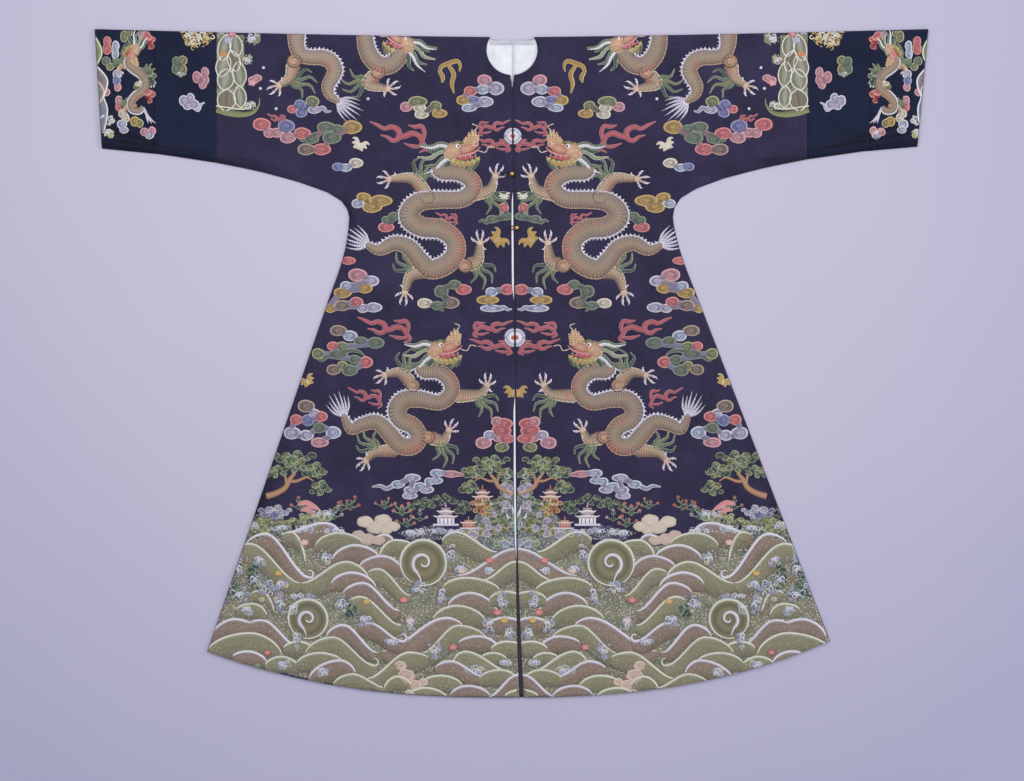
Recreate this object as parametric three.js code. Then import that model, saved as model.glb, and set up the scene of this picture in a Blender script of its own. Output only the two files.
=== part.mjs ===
// A lined court surcoat, laid flat on its back with the sleeves spread.
// Millimetres. +X is the wearer's left sleeve (the viewer's right), +Y is up
// towards the shoulders, +Z is up off the surface. The origin is on the surface,
// at the middle of the coat's width and length.
import * as THREE from 'three';

// ---- Cloth ----
const wall = 1.0;                       // one layer of cloth
const gap = 0.3;                        // between pieces, at seams and between layers
const layer = wall + gap;
const liningBackZ = layer;              // undersides of the layers, from the back up
const liningFrontZ = 2 * layer;
const outerFrontZ = 3 * layer;
const stack = outerFrontZ + wall;       // the whole coat, laid flat

// ---- Size ----
const halfSpan = 883;                   // centre to the end of a sleeve, at the shoulder
const hemY = -708;                      // hem on the centre line
const shoulderY = 691;                  // shoulder fold beside the neck
const shoulderRise = 17;                // the fold is this much higher at the cuffs
const shoulderBow = 1.4;
const sleeveSeamX = 626.5;              // body length to sleeve band
const cuffSeamX = 758;                  // sleeve band to cuff band
const cuffFoot = { left: 868, right: 860 };   // lower corner of the cuff end

// ---- Neck ----
const neck = { x: 1, y: 664.6, radius: 54, backY: 685.5 };
const neckAngles = [-90, -72, -54, -36, -18, 0, 14];    // rows round the front neck, in degrees
const notch = { foot: 597, halfGap: 4 };                // the fronts' top corners fall apart here
const facing = { top: 684.5, foot: 674, halfWidth: 47 };

// ---- Front opening: the line it follows, its half gap, and how far the pale
// edge of the lining stands out of the left front ----
const opening = [
  { y: -708, x: 21.2, halfGap: 4.0, pale: 0 },
  { y: -600, x: 16.2, halfGap: 3.7, pale: 0 },
  { y: -500, x: 13.2, halfGap: 2.6, pale: 0 },
  { y: -418, x: 11.7, halfGap: 1.3, pale: 0 },
  { y: -385, x: 11.2, halfGap: 1.1, pale: 3.6 },
  { y: -240, x: 10.1, halfGap: 1.0, pale: 4.6 },
  { y: -101, x: 8.9, halfGap: 1.0, pale: 3.8 },
  { y: -68, x: 8.5, halfGap: 1.1, pale: 0 },
  { y: 30, x: 7.4, halfGap: 1.2, pale: 0 },
  { y: 133, x: 6.2, halfGap: 1.1, pale: 0 },
  { y: 160, x: 5.9, halfGap: 1.0, pale: 3.8 },
  { y: 261, x: 5.2, halfGap: 1.0, pale: 4.6 },
  { y: 344, x: 4.3, halfGap: 1.0, pale: 3.0 },
  { y: 364, x: 4.0, halfGap: 1.1, pale: 0 },
  { y: 590, x: 1.6, halfGap: 1.0, pale: 0 },
  { y: 611, x: 1.4, halfGap: notch.halfGap, pale: 0 },
];
const underlap = { halfWidth: 14, foot: hemY + 5, top: 585 };

// ---- Side edge, hem to sleeve seam. level is the row's height on the centre line,
// left and right are where it meets the edge (distance out, height), and bow is
// how late the row bends up to it ----
const sideRows = [
  { level: hemY, left: [645, -611], right: [675, -589], bow: 2.5 },   // hem
  { level: 218, left: [359, 218], right: [364, 218], bow: 2.5 },      // hip
  { level: 261, left: [349, 261], right: [351, 261], bow: 2 },
  { level: 312, left: [344, 312], right: [342, 312], bow: 2 },        // underarm
  { level: 344, left: [354, 336], right: [350, 341], bow: 2 },
  { level: 364, left: [373, 353], right: [374, 360], bow: 2 },
  { level: 384, left: [407, 369], right: [408, 377], bow: 2 },
  { level: 405, left: [475, 391], right: [476, 399], bow: 2 },
  { level: 423, left: [542, 408], right: [542, 415], bow: 2 },
  { level: 440, left: [sleeveSeamX, 425], right: [sleeveSeamX, 432], bow: 2 },   // sleeve seam
];
const skirtLevels = [-600, -500, -418, -385, -310, -240, -170, -101, -68, 30, 133, 160];
const chestLevels = [475, 530, 590];
const seamTurn = [0, 5, 9.5, 14];       // the front comes down to the side seam over these widths
const seamLift = [1, 0.93, 0.6, 0];     // and stands this share of its height there

// ---- Sleeve underside: distance out and height of each side's edge ----
const sleeveEdge = [
  { left: [sleeveSeamX, 425], right: [sleeveSeamX, 432] },
  { left: [745, 443], right: [745, 449] },
  { left: [halfSpan, 455], right: [halfSpan, 459] },
];
const sleeveDrops = [24, 35, 48, 64, 88, 125, 175];     // rows up the sleeve from its lower edge

// ---- Largest folds of the front: soft ridges from one place to another ----
const folds = [
  { from: [-880, 484], to: [-640, 438], high: 3.2, wide: 9 },      // lower left sleeve
  { from: [-872, 467], to: [-720, 448], high: 2.0, wide: 7 },
  { from: [-700, 462], to: [-400, 408], high: 2.4, wide: 12 },
  { from: [-800, 530], to: [-560, 486], high: 1.6, wide: 16 },
  { from: [868, 500], to: [585, 441], high: 3.4, wide: 10 },       // lower right sleeve
  { from: [862, 479], to: [690, 455], high: 2.2, wide: 7 },
  { from: [700, 470], to: [400, 414], high: 2.4, wide: 12 },
  { from: [820, 545], to: [600, 505], high: 1.6, wide: 16 },
  { from: [-330, 330], to: [-300, 120], high: 1.8, wide: 30 },     // under the arms
  { from: [335, 335], to: [310, 100], high: 1.6, wide: 28 },
  { from: [-250, -60], to: [-330, -600], high: 2.2, wide: 48 },    // flare of the skirt
  { from: [-150, -180], to: [-165, -660], high: 1.6, wide: 40 },
  { from: [-420, -250], to: [-520, -590], high: 1.8, wide: 42 },
  { from: [240, -90], to: [300, -610], high: 2.0, wide: 46 },
  { from: [150, -220], to: [150, -670], high: 1.6, wide: 38 },
  { from: [430, -230], to: [545, -570], high: 2.2, wide: 44 },
];
const foldFree = 30;                    // the folds die out this near the opening and neck

// ---- Buttons and loops ----
const button = { radius: 5, shankRadius: 1.5, shank: 3 };
const buttons = { upper: [1, 401], lower: [11, 286.5] };
const loop = { cord: 2, length: 26, clear: 0.5 };

// ---- Grids ----
const bodyColumns = 9;
const liningColumns = 4;
const foldSteps = 4;                    // rows round the shoulder fold

const sign = { left: -1, right: 1 };
const clamp = (value, low, high) => Math.min(Math.max(value, low), high);
const mix = (a, b, t) => a + (b - a) * t;
const smooth = (t) => t * t * (3 - 2 * t);

// Straight interpolation in a table, by one of its columns.
function readTable(rows, key, at, pick) {
  const last = rows.length - 1;
  const i = clamp(rows.findIndex((row) => row[key] > at) - 1, -1, last - 1);
  const low = i < 0 ? (at < rows[0][key] ? 0 : last - 1) : i;
  const t = clamp((at - rows[low][key]) / (rows[low + 1][key] - rows[low][key]), 0, 1);
  return mix(pick(rows[low]), pick(rows[low + 1]), t);
}

const openingAt = (y, column) => readTable(opening, 'y', y, (row) => row[column]);
const shoulderAt = (x) => shoulderY + shoulderRise * (Math.abs(x) / halfSpan) ** shoulderBow;

// Height of the soft folds above the flat front.
function relief(x, y) {
  let high = 0;
  for (const fold of folds) {
    const [x0, y0] = fold.from;
    const along = [fold.to[0] - x0, fold.to[1] - y0];
    const length = Math.hypot(...along);
    const t = ((x - x0) * along[0] + (y - y0) * along[1]) / length ** 2;
    const off = ((x - x0) * along[1] - (y - y0) * along[0]) / length;
    const ends = smooth(clamp(t / 0.2, 0, 1)) * smooth(clamp((1 - t) / 0.2, 0, 1));
    high += fold.high * ends * Math.exp(-((off / fold.wide) ** 2));
  }
  const fromOpening = Math.abs(x - openingAt(y, 'x')) - foldFree;
  return high * smooth(clamp(fromOpening / foldFree, 0, 1));
}

// The outer edge of a row: its point on the side edge, and that point moved in
// by a width along the edge's normal.
function sidePoint(side, level, width) {
  const foot = sideRows[sideRows.length - 1];
  if (level >= foot.level) {
    const t = (level - foot.level) / (shoulderY - foot.level);
    const start = foot[side][1] + seamTurn.at(-1);
    return [sleeveSeamX, mix(start, shoulderAt(sleeveSeamX), t)];
  }
  const at = (h, column) => readTable(sideRows, 'level', h, (row) => row[side][column]);
  const low = Math.max(level - 6, hemY);
  const high = Math.min(level + 6, foot.level);
  const along = [at(high, 0) - at(low, 0), at(high, 1) - at(low, 1)];
  const length = Math.hypot(...along);
  return [at(level, 0) - (width * along[1]) / length, at(level, 1) + (width * along[0]) / length];
}

// A point of a row, from its inner end (t = 0) to a place on or near its outer end (t = 1).
function rowPoint(side, level, innerX, end, t) {
  const endX = sign[side] * end[0];
  const x = mix(innerX, endX, t);
  const bow = level > sideRows.at(-1).level ? shoulderBow
    : readTable(sideRows, 'level', level, (row) => row.bow);
  const share = clamp(Math.abs(x) / end[0], 0, 1) ** bow;
  return [x, mix(level, end[1], share)];
}

// A sheet of cloth: a list of points, each with its place on the outer and on the
// inner face, and quads between them. Its solid has both faces and a rim round
// every free edge.
class Sheet {
  constructor(flip) {
    this.flip = flip;
    this.outer = [];
    this.inner = [];
    this.quads = [];
  }

  point(outer, inner) {
    this.outer.push(outer);
    this.inner.push(inner);
    return this.outer.length - 1;
  }

  // Lay quads between two rows of points of the same length.
  join(rowA, rowB) {
    for (let j = 0; j < rowA.length - 1; j += 1) {
      const quad = [rowA[j], rowA[j + 1], rowB[j + 1], rowB[j]];
      this.quads.push(this.flip ? quad.reverse() : quad);
    }
  }

  geometry() {
    const count = this.outer.length;
    const index = [];
    const free = new Map();
    for (const [a, b, c, d] of this.quads) {
      index.push(a, b, c, a, c, d);
      index.push(a + count, c + count, b + count, a + count, d + count, c + count);
      for (const [from, to] of [[a, b], [b, c], [c, d], [d, a]]) {
        if (free.has(`${to},${from}`)) {
          free.delete(`${to},${from}`);
        } else {
          free.set(`${from},${to}`, [from, to]);
        }
      }
    }
    for (const [from, to] of free.values()) {
      index.push(to, from, from + count, to, from + count, to + count);
    }
    const geometry = new THREE.BufferGeometry();
    const places = [...this.outer, ...this.inner].flat();
    geometry.setAttribute('position', new THREE.Float32BufferAttribute(places, 3));
    geometry.setIndex(index);
    geometry.computeVertexNormals();
    return geometry;
  }
}

const coat = new THREE.Group();

function add(name, geometry, color, roughness, metalness = 0) {
  const material = new THREE.MeshStandardMaterial({ color, roughness, metalness });
  material.name = name;
  const mesh = new THREE.Mesh(geometry, material);
  mesh.name = name;
  coat.add(mesh);
  return mesh;
}

// Rows round the shoulder fold, from the front over to the back. The two faces
// are arcs about one axis.
function foldRows(sheet, xs, zLow, zHigh) {
  const radius = (zHigh - zLow) / 2;
  const rows = [];
  for (let k = 1; k < foldSteps; k += 1) {
    const angle = (Math.PI * k) / foldSteps;
    const place = (x, r) => [
      x,
      shoulderAt(x) - stack / 2 + r * Math.sin(angle),
      zLow + radius + r * Math.cos(angle),
    ];
    rows.push(xs.map((x) => sheet.point(place(x, radius), place(x, radius - wall))));
  }
  return rows;
}

// ---- Body and lining lengths ----
// Each is one length folded over the shoulder. cut says where it ends and where it lies.
function frontInner(side, y, cut) {
  const away = Math.abs(y - neck.y) < cut.neckRadius && y > neck.y - cut.neckRadius
    ? Math.sqrt(cut.neckRadius ** 2 - (y - neck.y) ** 2) : 0;
  const half = Math.max(openingAt(y, 'halfGap'), cut.openingHalf);
  const pale = openingAt(y, 'pale');
  const edge = side === 'left' && pale > 0 && cut.strip ? half + pale + gap : half;
  const line = openingAt(y, 'x') + sign[side] * edge;
  const round = neck.x + sign[side] * away;
  return sign[side] * round > sign[side] * line ? round : line;
}

function levelsOf(cut) {
  const rounded = neckAngles.map((deg) => (
    neck.y + cut.neckRadius * Math.sin(THREE.MathUtils.degToRad(deg))));
  const sides = sideRows.map((row) => row.level);
  const all = [hemY, ...skirtLevels, ...sides, ...chestLevels, ...rounded, shoulderY];
  return [...new Set(all)].sort((a, b) => a - b);
}

// Level of a row with the hem turned up and the shoulder's row brought to the fold's start.
const settle = (level, cut) => (level === hemY ? level + cut.hemUp : level);

function length(side, cut) {
  const sheet = new Sheet(side === 'left');
  const steps = Array.from({ length: cut.columns + 1 }, (_, j) => j / cut.columns);
  const footLevel = sideRows.at(-1).level;
  const seamIn = (end, level) => (level >= footLevel ? [end[0] - cut.seamIn, end[1]] : end);

  const frontRow = (level) => {
    const y0 = settle(level, cut);
    const end = seamIn(sidePoint(side, y0, cut.turn), level);
    const inner = frontInner(side, y0, cut);
    return steps.map((t) => {
      const [x, y] = rowPoint(side, y0, inner, end, t);
      const top = level === shoulderY ? [x, shoulderAt(x) - stack / 2] : [x, y];
      const high = cut.strip && level !== shoulderY ? relief(...top) * cut.fade(top[1]) : 0;
      return sheet.point([...top, cut.frontZ + wall + high], [...top, cut.frontZ + high]);
    });
  };

  const stripRow = (level, first) => {
    const row = [first];
    const [x1, y1] = sheet.outer[first];
    const end = sidePoint(side, Math.min(level, footLevel - 1e-6), 0);
    const foot = level === footLevel ? [sleeveSeamX, sideRows.at(-1)[side][1]] : end;
    for (let k = 1; k < seamTurn.length; k += 1) {
      const t = seamTurn[k] / seamTurn.at(-1);
      const place = [mix(x1, sign[side] * foot[0], t), mix(y1, foot[1], t)];
      const high = relief(...place) * seamLift[k];
      const low = mix(layer, outerFrontZ, seamLift[k]) + high;
      row.push(sheet.point([...place, low + wall], [...place, low]));
    }
    return row;
  };

  const backRow = (level) => {
    const y0 = settle(level, cut);
    const end = seamIn(sidePoint(side, y0, cut.strip ? 0 : cut.turn), level);
    const foot = cut.strip && level === footLevel
      ? [sleeveSeamX - cut.seamIn, sideRows.at(-1)[side][1]] : end;
    const inner = level >= cut.backNeck
      ? neck.x + sign[side] * mix(gap / 2, cut.shoulderHalf,
        Math.sqrt(clamp((level - cut.backNeck) / (shoulderY - stack / 2 - cut.backNeck), 0, 1)))
      : openingAt(y0, 'x') + sign[side] * (gap / 2);
    return steps.map((t) => {
      const [x, y] = rowPoint(side, y0, inner, foot, t);
      const top = level === shoulderY ? [x, shoulderAt(x) - stack / 2] : [x, y];
      return sheet.point([...top, cut.backZ], [...top, cut.backZ + wall]);
    });
  };

  const levels = levelsOf(cut).filter((level) => level < neck.y + cut.neckRadius * 0.4
    || level === shoulderY);
  const fronts = levels.map(frontRow);
  fronts.slice(1).forEach((row, i) => sheet.join(fronts[i], row));
  if (cut.strip) {
    const strips = levels.flatMap((level, i) => (
      level <= footLevel ? [stripRow(level, fronts[i].at(-1))] : []));
    strips.slice(1).forEach((row, i) => sheet.join(strips[i], row));
  }
  const shoulderXs = fronts.at(-1).map((id) => sheet.outer[id][0]);
  const backLevels = [shoulderY, cut.backNeck + 2.2, cut.backNeck + 0.8, cut.backNeck, 600, 530,
    ...sideRows.slice(1).map((row) => row.level).reverse(), 30, -170, -385, -600, hemY];
  const backs = backLevels.filter((level) => level !== 530 || !cut.coarse).map(backRow);
  const over = [fronts.at(-1), ...foldRows(sheet, shoulderXs, cut.backZ, cut.frontZ + wall), ...backs];
  over.slice(1).forEach((row, i) => sheet.join(over[i], row));
  return sheet.geometry();
}

// The folds also die out towards the shoulder, where the cloth turns over.
const shoulderFade = (y) => smooth(clamp((shoulderY - y) / 60, 0, 1));

const outerCut = {
  strip: true, columns: bodyColumns, turn: seamTurn.at(-1), hemUp: 0, seamIn: gap / 2,
  frontZ: outerFrontZ, backZ: 0, neckRadius: neck.radius, openingHalf: 0,
  backNeck: neck.backY, shoulderHalf: 48, fade: shoulderFade, coarse: false,
};
const liningCut = {
  strip: false, columns: liningColumns, turn: seamTurn.at(-1) + 1.5, hemUp: 5, seamIn: 3,
  frontZ: liningFrontZ, backZ: liningBackZ, neckRadius: neck.radius + 3,
  openingHalf: underlap.halfWidth + gap, backNeck: neck.backY - 1, shoulderHalf: 51,
  fade: () => 0, coarse: true,
};

for (const side of ['left', 'right']) {
  add(`body_${side}`, length(side, outerCut), 0x3a3250, 0.7);
  add(`lining_${side}`, length(side, liningCut), 0xdcdeeb, 0.8);
}

// ---- Sleeve and cuff bands: tubes laid flat, folded over the top of the sleeve ----
function sleeveFoot(side, out) {
  const rows = sleeveEdge.map((row) => ({ out: row[side][0], y: row[side][1] }));
  return readTable(rows, 'out', out, (row) => row.y);
}

function band(side, from, to, columns, slanted) {
  const sheet = new Sheet(side === 'left');
  const outs = Array.from({ length: columns + 1 }, (_, j) => mix(from, to, j / columns));
  const slant = (out, y) => {
    const drop = clamp((shoulderAt(to) - y) / (shoulderAt(to) - sleeveFoot(side, to)), 0, 1);
    const share = (out - from) / (to - from);
    return sign[side] * (slanted ? out - share * drop * (halfSpan - cuffFoot[side]) : out);
  };
  const row = (up, z, lift, bulge) => outs.map((out) => {
    const foot = sleeveFoot(side, out);
    const top = shoulderAt(out) - stack / 2;
    const y = up === 'top' ? top : Math.min(foot + up, top);
    const x = slant(out, y);
    const high = bulge ? relief(x, y) * lift : 0;
    return bulge
      ? sheet.point([x, y, z + wall + high], [x, y, z + high])
      : sheet.point([x, y, z], [x, y, z + wall]);
  });
  const turned = seamTurn.map((width, k) => ({ up: seamTurn.at(-1) - width, lift: seamLift[k] }));
  const fronts = turned.reverse().map(({ up, lift }) => (
    row(up, mix(layer, outerFrontZ, lift), lift, true)));
  sleeveDrops.forEach((up) => fronts.push(row(up, outerFrontZ, 1, true)));
  fronts.push(row('top', outerFrontZ, 0, true));
  const shoulderXs = fronts.at(-1).map((id) => sheet.outer[id][0]);
  const backs = ['top', 160, 80, 0].map((up) => row(up, 0, 0, false));
  const all = [...fronts, ...foldRows(sheet, shoulderXs, 0, stack), ...backs];
  all.slice(1).forEach((next, i) => sheet.join(all[i], next));
  return sheet.geometry();
}

for (const side of ['left', 'right']) {
  const half = gap / 2;
  const sleeve = band(side, sleeveSeamX + half, cuffSeamX - half, 4, false);
  add(`sleeve_band_${side}`, sleeve, 0x26283c, 0.7);
  add(`cuff_${side}`, band(side, cuffSeamX + half, halfSpan, 4, true), 0x4a4a4c, 0.7);
}

// ---- Flat strips at the front opening: rows of left and right ends ----
function strip(rows, z) {
  const sheet = new Sheet(false);
  const made = rows.map(({ y, from, to }) => [from, to].map((x) => (
    sheet.point([x, y, z + wall], [x, y, z]))));
  made.slice(1).forEach((row, i) => sheet.join(made[i], row));
  return sheet.geometry();
}

const lapYs = [...opening.map((row) => row.y), ...skirtLevels, ...sideRows.map((row) => row.level)]
  .filter((y) => y > underlap.foot && y < underlap.top);
const lapRows = [underlap.foot, ...new Set(lapYs), underlap.top].sort((a, b) => a - b).map((y) => ({
  y,
  from: openingAt(y, 'x') - underlap.halfWidth,
  to: openingAt(y, 'x') + underlap.halfWidth,
}));
add('front_underlap', strip(lapRows, liningFrontZ), 0x1c1a28, 0.8);

// The pale edge of the lining, in two stretches beside the left front.
const paleSpans = { upper: [133, 364], lower: [-418, -68] };
for (const [name, [low, high]] of Object.entries(paleSpans)) {
  const ys = [...opening.map((row) => row.y), ...skirtLevels, ...sideRows.map((row) => row.level)];
  const inside = [...new Set(ys)].filter((y) => y > low && y < high).sort((a, b) => a - b);
  const rows = inside.map((y) => {
    const line = openingAt(y, 'x') - openingAt(y, 'halfGap');
    return { y, from: line - openingAt(y, 'pale'), to: line };
  });
  add(`lining_edge_${name}`, strip(rows, outerFrontZ), 0xe4e6f2, 0.8);
}

// The facing along the back neck lies on the back lining.
const facingRows = [facing.foot, facing.top].map((y) => ({
  y, from: neck.x - facing.halfWidth, to: neck.x + facing.halfWidth,
}));
add('neck_facing', strip(facingRows, liningFrontZ), 0xc9cad6, 0.8);

// ---- Round metal buttons on their shanks, and the cord loops round the shanks ----
function buttonGeometry() {
  const { radius, shankRadius, shank } = button;
  const start = Math.asin(shankRadius / radius);
  const profile = [[0, 0], [shankRadius + 0.6, 0], [shankRadius, 0.6]];
  const lift = shank + radius * Math.cos(start);
  for (let k = 0; k <= 8; k += 1) {
    const angle = mix(start, Math.PI, k / 8);
    profile.push([radius * Math.sin(angle), lift - radius * Math.cos(angle)]);
  }
  const points = profile.map(([r, z]) => new THREE.Vector2(Math.max(r, 0), z));
  points[points.length - 1].x = 0;
  const geometry = new THREE.LatheGeometry(points, 14);
  geometry.rotateX(Math.PI / 2);
  return geometry;
}

// A cord that leaves the left front, goes round the shank and comes back.
function loopGeometry() {
  const bend = button.shankRadius + 0.6 + loop.clear + loop.cord / 2;
  const places = [new THREE.Vector3(-loop.length, bend, 0), new THREE.Vector3(-loop.length / 2, bend, 0)];
  for (let deg = 90; deg >= -90; deg -= 30) {
    const angle = THREE.MathUtils.degToRad(deg);
    places.push(new THREE.Vector3(bend * Math.cos(angle), bend * Math.sin(angle), 0));
  }
  places.push(new THREE.Vector3(-loop.length / 2, -bend, 0), new THREE.Vector3(-loop.length, -bend, 0));
  const section = new THREE.Shape();
  section.absarc(0, 0, loop.cord / 2, 0, 2 * Math.PI);
  return new THREE.ExtrudeGeometry(section, {
    steps: 22, curveSegments: 3, bevelEnabled: false,
    extrudePath: new THREE.CatmullRomCurve3(places, false, 'chordal'),
  });
}

for (const [name, [x, y]] of Object.entries(buttons)) {
  const ball = add(`button_${name}`, buttonGeometry(), 0xd9b45a, 0.3, 1);
  ball.position.set(x, y, stack + gap);
  const cord = add(`loop_${name}`, loopGeometry(), 0x201c30, 0.8);
  cord.position.set(x, y, stack + gap + loop.cord / 2);
}

export default coat;
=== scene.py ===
# %% [markdown]
# # A lined court surcoat, laid flat
# The coat is a wide T of dark silk, lined in pale silk and covered with floss-silk embroidery. It lies on
# its back with the sleeves spread, so it is a stack of four layers of cloth, 5 mm deep. This lesson first
# works out the shape of the cloth, then lays every motif on that shape, and ends with light and camera.
# All sizes are in millimetres until a mesh is made.

# %% Load the coat's solids
import math
import bpy
import numpy as np
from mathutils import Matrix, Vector


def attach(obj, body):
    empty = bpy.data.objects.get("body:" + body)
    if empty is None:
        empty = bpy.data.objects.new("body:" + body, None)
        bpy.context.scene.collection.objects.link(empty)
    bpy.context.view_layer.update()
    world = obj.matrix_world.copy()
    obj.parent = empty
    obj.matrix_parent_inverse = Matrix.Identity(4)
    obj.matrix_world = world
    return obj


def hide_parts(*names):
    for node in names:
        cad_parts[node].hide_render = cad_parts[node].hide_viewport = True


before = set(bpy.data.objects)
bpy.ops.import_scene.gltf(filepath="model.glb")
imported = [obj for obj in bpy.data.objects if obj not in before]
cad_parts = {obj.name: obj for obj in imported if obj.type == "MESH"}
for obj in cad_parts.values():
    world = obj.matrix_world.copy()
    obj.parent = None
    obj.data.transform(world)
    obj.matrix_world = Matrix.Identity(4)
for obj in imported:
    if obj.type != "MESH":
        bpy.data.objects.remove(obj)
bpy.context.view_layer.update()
MM = 0.001
LEFT, RIGHT = -1, 1

# %% [markdown]
# ## The cut
# A surcoat of this kind is cut from straight loom widths: two body lengths that run over the shoulders with
# no seam, a sleeve band and a cuff band on each arm. A pattern drafter notes a few widths and heights and
# draws smooth lines through them. The tables below do the same, so every piece shares one outline.

# %% Sizes of the cut
WALL, GAP = 1.0, 0.3
LAYER = WALL + GAP
OUTER_Z = 3 * LAYER
STACK = OUTER_Z + WALL
HALF_SPAN = 883.0
HEM_Y, SHOULDER_Y, SHOULDER_RISE, SHOULDER_BOW = -708.0, 691.0, 17.0, 1.4
SLEEVE_SEAM, CUFF_SEAM = 626.5, 758.0
CUFF_FOOT = {LEFT: 868.0, RIGHT: 860.0}
NECK_X, NECK_Y, NECK_RADIUS, NECK_BACK = 1.0, 664.6, 54.0, 685.5
SEAM_TURN = 14.0
LAP_HALF = 14
EASE_START = 640

OPENING = np.array([  # height, middle line, half gap, pale edge of the lining
    (-708, 21.2, 4.0, 0), (-600, 16.2, 3.7, 0), (-500, 13.2, 2.6, 0), (-418, 11.7, 1.3, 0),
    (-385, 11.2, 1.1, 3.6), (-240, 10.1, 1.0, 4.6), (-101, 8.9, 1.0, 3.8), (-68, 8.5, 1.1, 0),
    (30, 7.4, 1.2, 0), (133, 6.2, 1.1, 0), (160, 5.9, 1.0, 3.8), (261, 5.2, 1.0, 4.6),
    (344, 4.3, 1.0, 3.0), (364, 4.0, 1.1, 0), (590, 1.6, 1.0, 0), (611, 1.4, 4.0, 0)])
SIDE = {  # level on the middle line, distance out and height where it meets the side, lateness of its bend
    LEFT: np.array([(-708, 645, -611, 2.5), (120, 389.3, 130.3, 2.5), (218, 359, 218, 2.5),
                    (261, 349, 261, 2), (312, 344, 312, 2), (344, 354, 336, 2), (364, 373, 353, 2),
                    (384, 407, 369, 2), (405, 475, 391, 2), (423, 542, 408, 2), (440, 626.5, 425, 2)]),
    RIGHT: np.array([(-708, 675, -589, 2.5), (120, 396.9, 132.6, 2.5), (218, 364, 218, 2.5),
                     (261, 351, 261, 2), (312, 342, 312, 2), (344, 350, 341, 2), (364, 374, 360, 2),
                     (384, 408, 377, 2), (405, 476, 399, 2), (423, 542, 415, 2), (440, 626.5, 432, 2)])}
SLEEVE_OUT = (626.5, 745.0, 883.0)
SLEEVE_FOOT = {LEFT: (425.0, 443.0, 455.0), RIGHT: (432.0, 449.0, 459.0)}
FOOT_LEVEL = 440.0
print("span", 2 * HALF_SPAN, "length", SHOULDER_Y - HEM_Y)


# %% Lines through the tables
def mix(a, b, t):
    return a + (b - a) * t


def smooth(t):
    """0 to 1 with level ends: 3t^2 - 2t^3."""
    t = np.clip(t, 0, 1)
    return t * t * (3 - 2 * t)


def through(xs, ys, at):
    """Smooth line through a table with no overshoot. In each interval it is the cubic that meets both
    values, with slopes that are the harmonic mean of the neighbouring intervals' slopes."""
    xs, ys = np.asarray(xs, float), np.asarray(ys, float)
    slope = np.diff(ys) / np.diff(xs)
    before, after = slope[:-1], slope[1:]
    both = np.where(np.abs(before + after) > 1e-12, before + after, 1.0)
    inner = np.where(before * after > 0, 2 * before * after / both, 0)
    tangent = np.concatenate([slope[:1], inner, slope[-1:]])
    at = np.clip(at, xs[0], xs[-1])
    i = np.clip(np.searchsorted(xs, at, "right") - 1, 0, len(xs) - 2)
    h = xs[i + 1] - xs[i]
    t = (at - xs[i]) / h
    rise = ys[i + 1] - ys[i]
    bend = t * (1 - t) ** 2 * tangent[i] - t**2 * (1 - t) * tangent[i + 1]
    curve = (3 * t**2 - 2 * t**3) * rise + h * bend
    return ys[i] + curve


def opening(y, column):
    return np.interp(y, OPENING[:, 0], OPENING[:, column])


def shoulder_y(x):
    """Height of the shoulder fold: flat at the neck, rising as |x|^1.4 to the cuffs."""
    return SHOULDER_Y + SHOULDER_RISE * (np.abs(x) / HALF_SPAN) ** SHOULDER_BOW


def side_point(side, level, width=0.0):
    """Where a level meets the side, moved in by a width along the edge's normal."""
    table = SIDE[side]
    ends = [through(table[:, 0], table[:, c], level) for c in (1, 2)]
    low, high = np.maximum(level - 6, HEM_Y), np.minimum(level + 6, FOOT_LEVEL)
    along = [through(table[:, 0], table[:, c], high) - through(table[:, 0], table[:, c], low) for c in (1, 2)]
    length = np.hypot(*along)
    return ends[0] - width * along[1] / length, ends[1] + width * along[0] / length


def sleeve_foot(side, out):
    return np.interp(out, SLEEVE_OUT, SLEEVE_FOOT[side])


def edge_line(side, count=90):
    """The side edge as one line of points (distance out, height), from hem to cuff."""
    out, high = side_point(side, np.linspace(HEM_Y, FOOT_LEVEL, count))
    sleeve = np.linspace(SLEEVE_SEAM, CUFF_FOOT[side], 12)[1:]
    return np.concatenate([np.stack([out, high], 1), np.stack([sleeve, sleeve_foot(side, sleeve)], 1)])


EDGE = {side: edge_line(side) for side in (LEFT, RIGHT)}


def edge_distance(side, x, y):
    """Shortest distance from points to the side edge, one straight stretch of it at a time."""
    out = np.abs(x)
    near = np.full(out.shape, 1e9)
    for (x0, y0), (x1, y1) in zip(EDGE[side][:-1], EDGE[side][1:]):
        dx, dy = x1 - x0, y1 - y0
        t = np.clip(((out - x0) * dx + (y - y0) * dy) / (dx * dx + dy * dy), 0, 1)
        near = np.minimum(near, np.hypot(out - x0 - t * dx, y - y0 - t * dy))
    return near


print("edge points a side:", len(EDGE[LEFT]), "waist half width:", round(float(EDGE[LEFT][:, 0].min()), 1))
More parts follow.
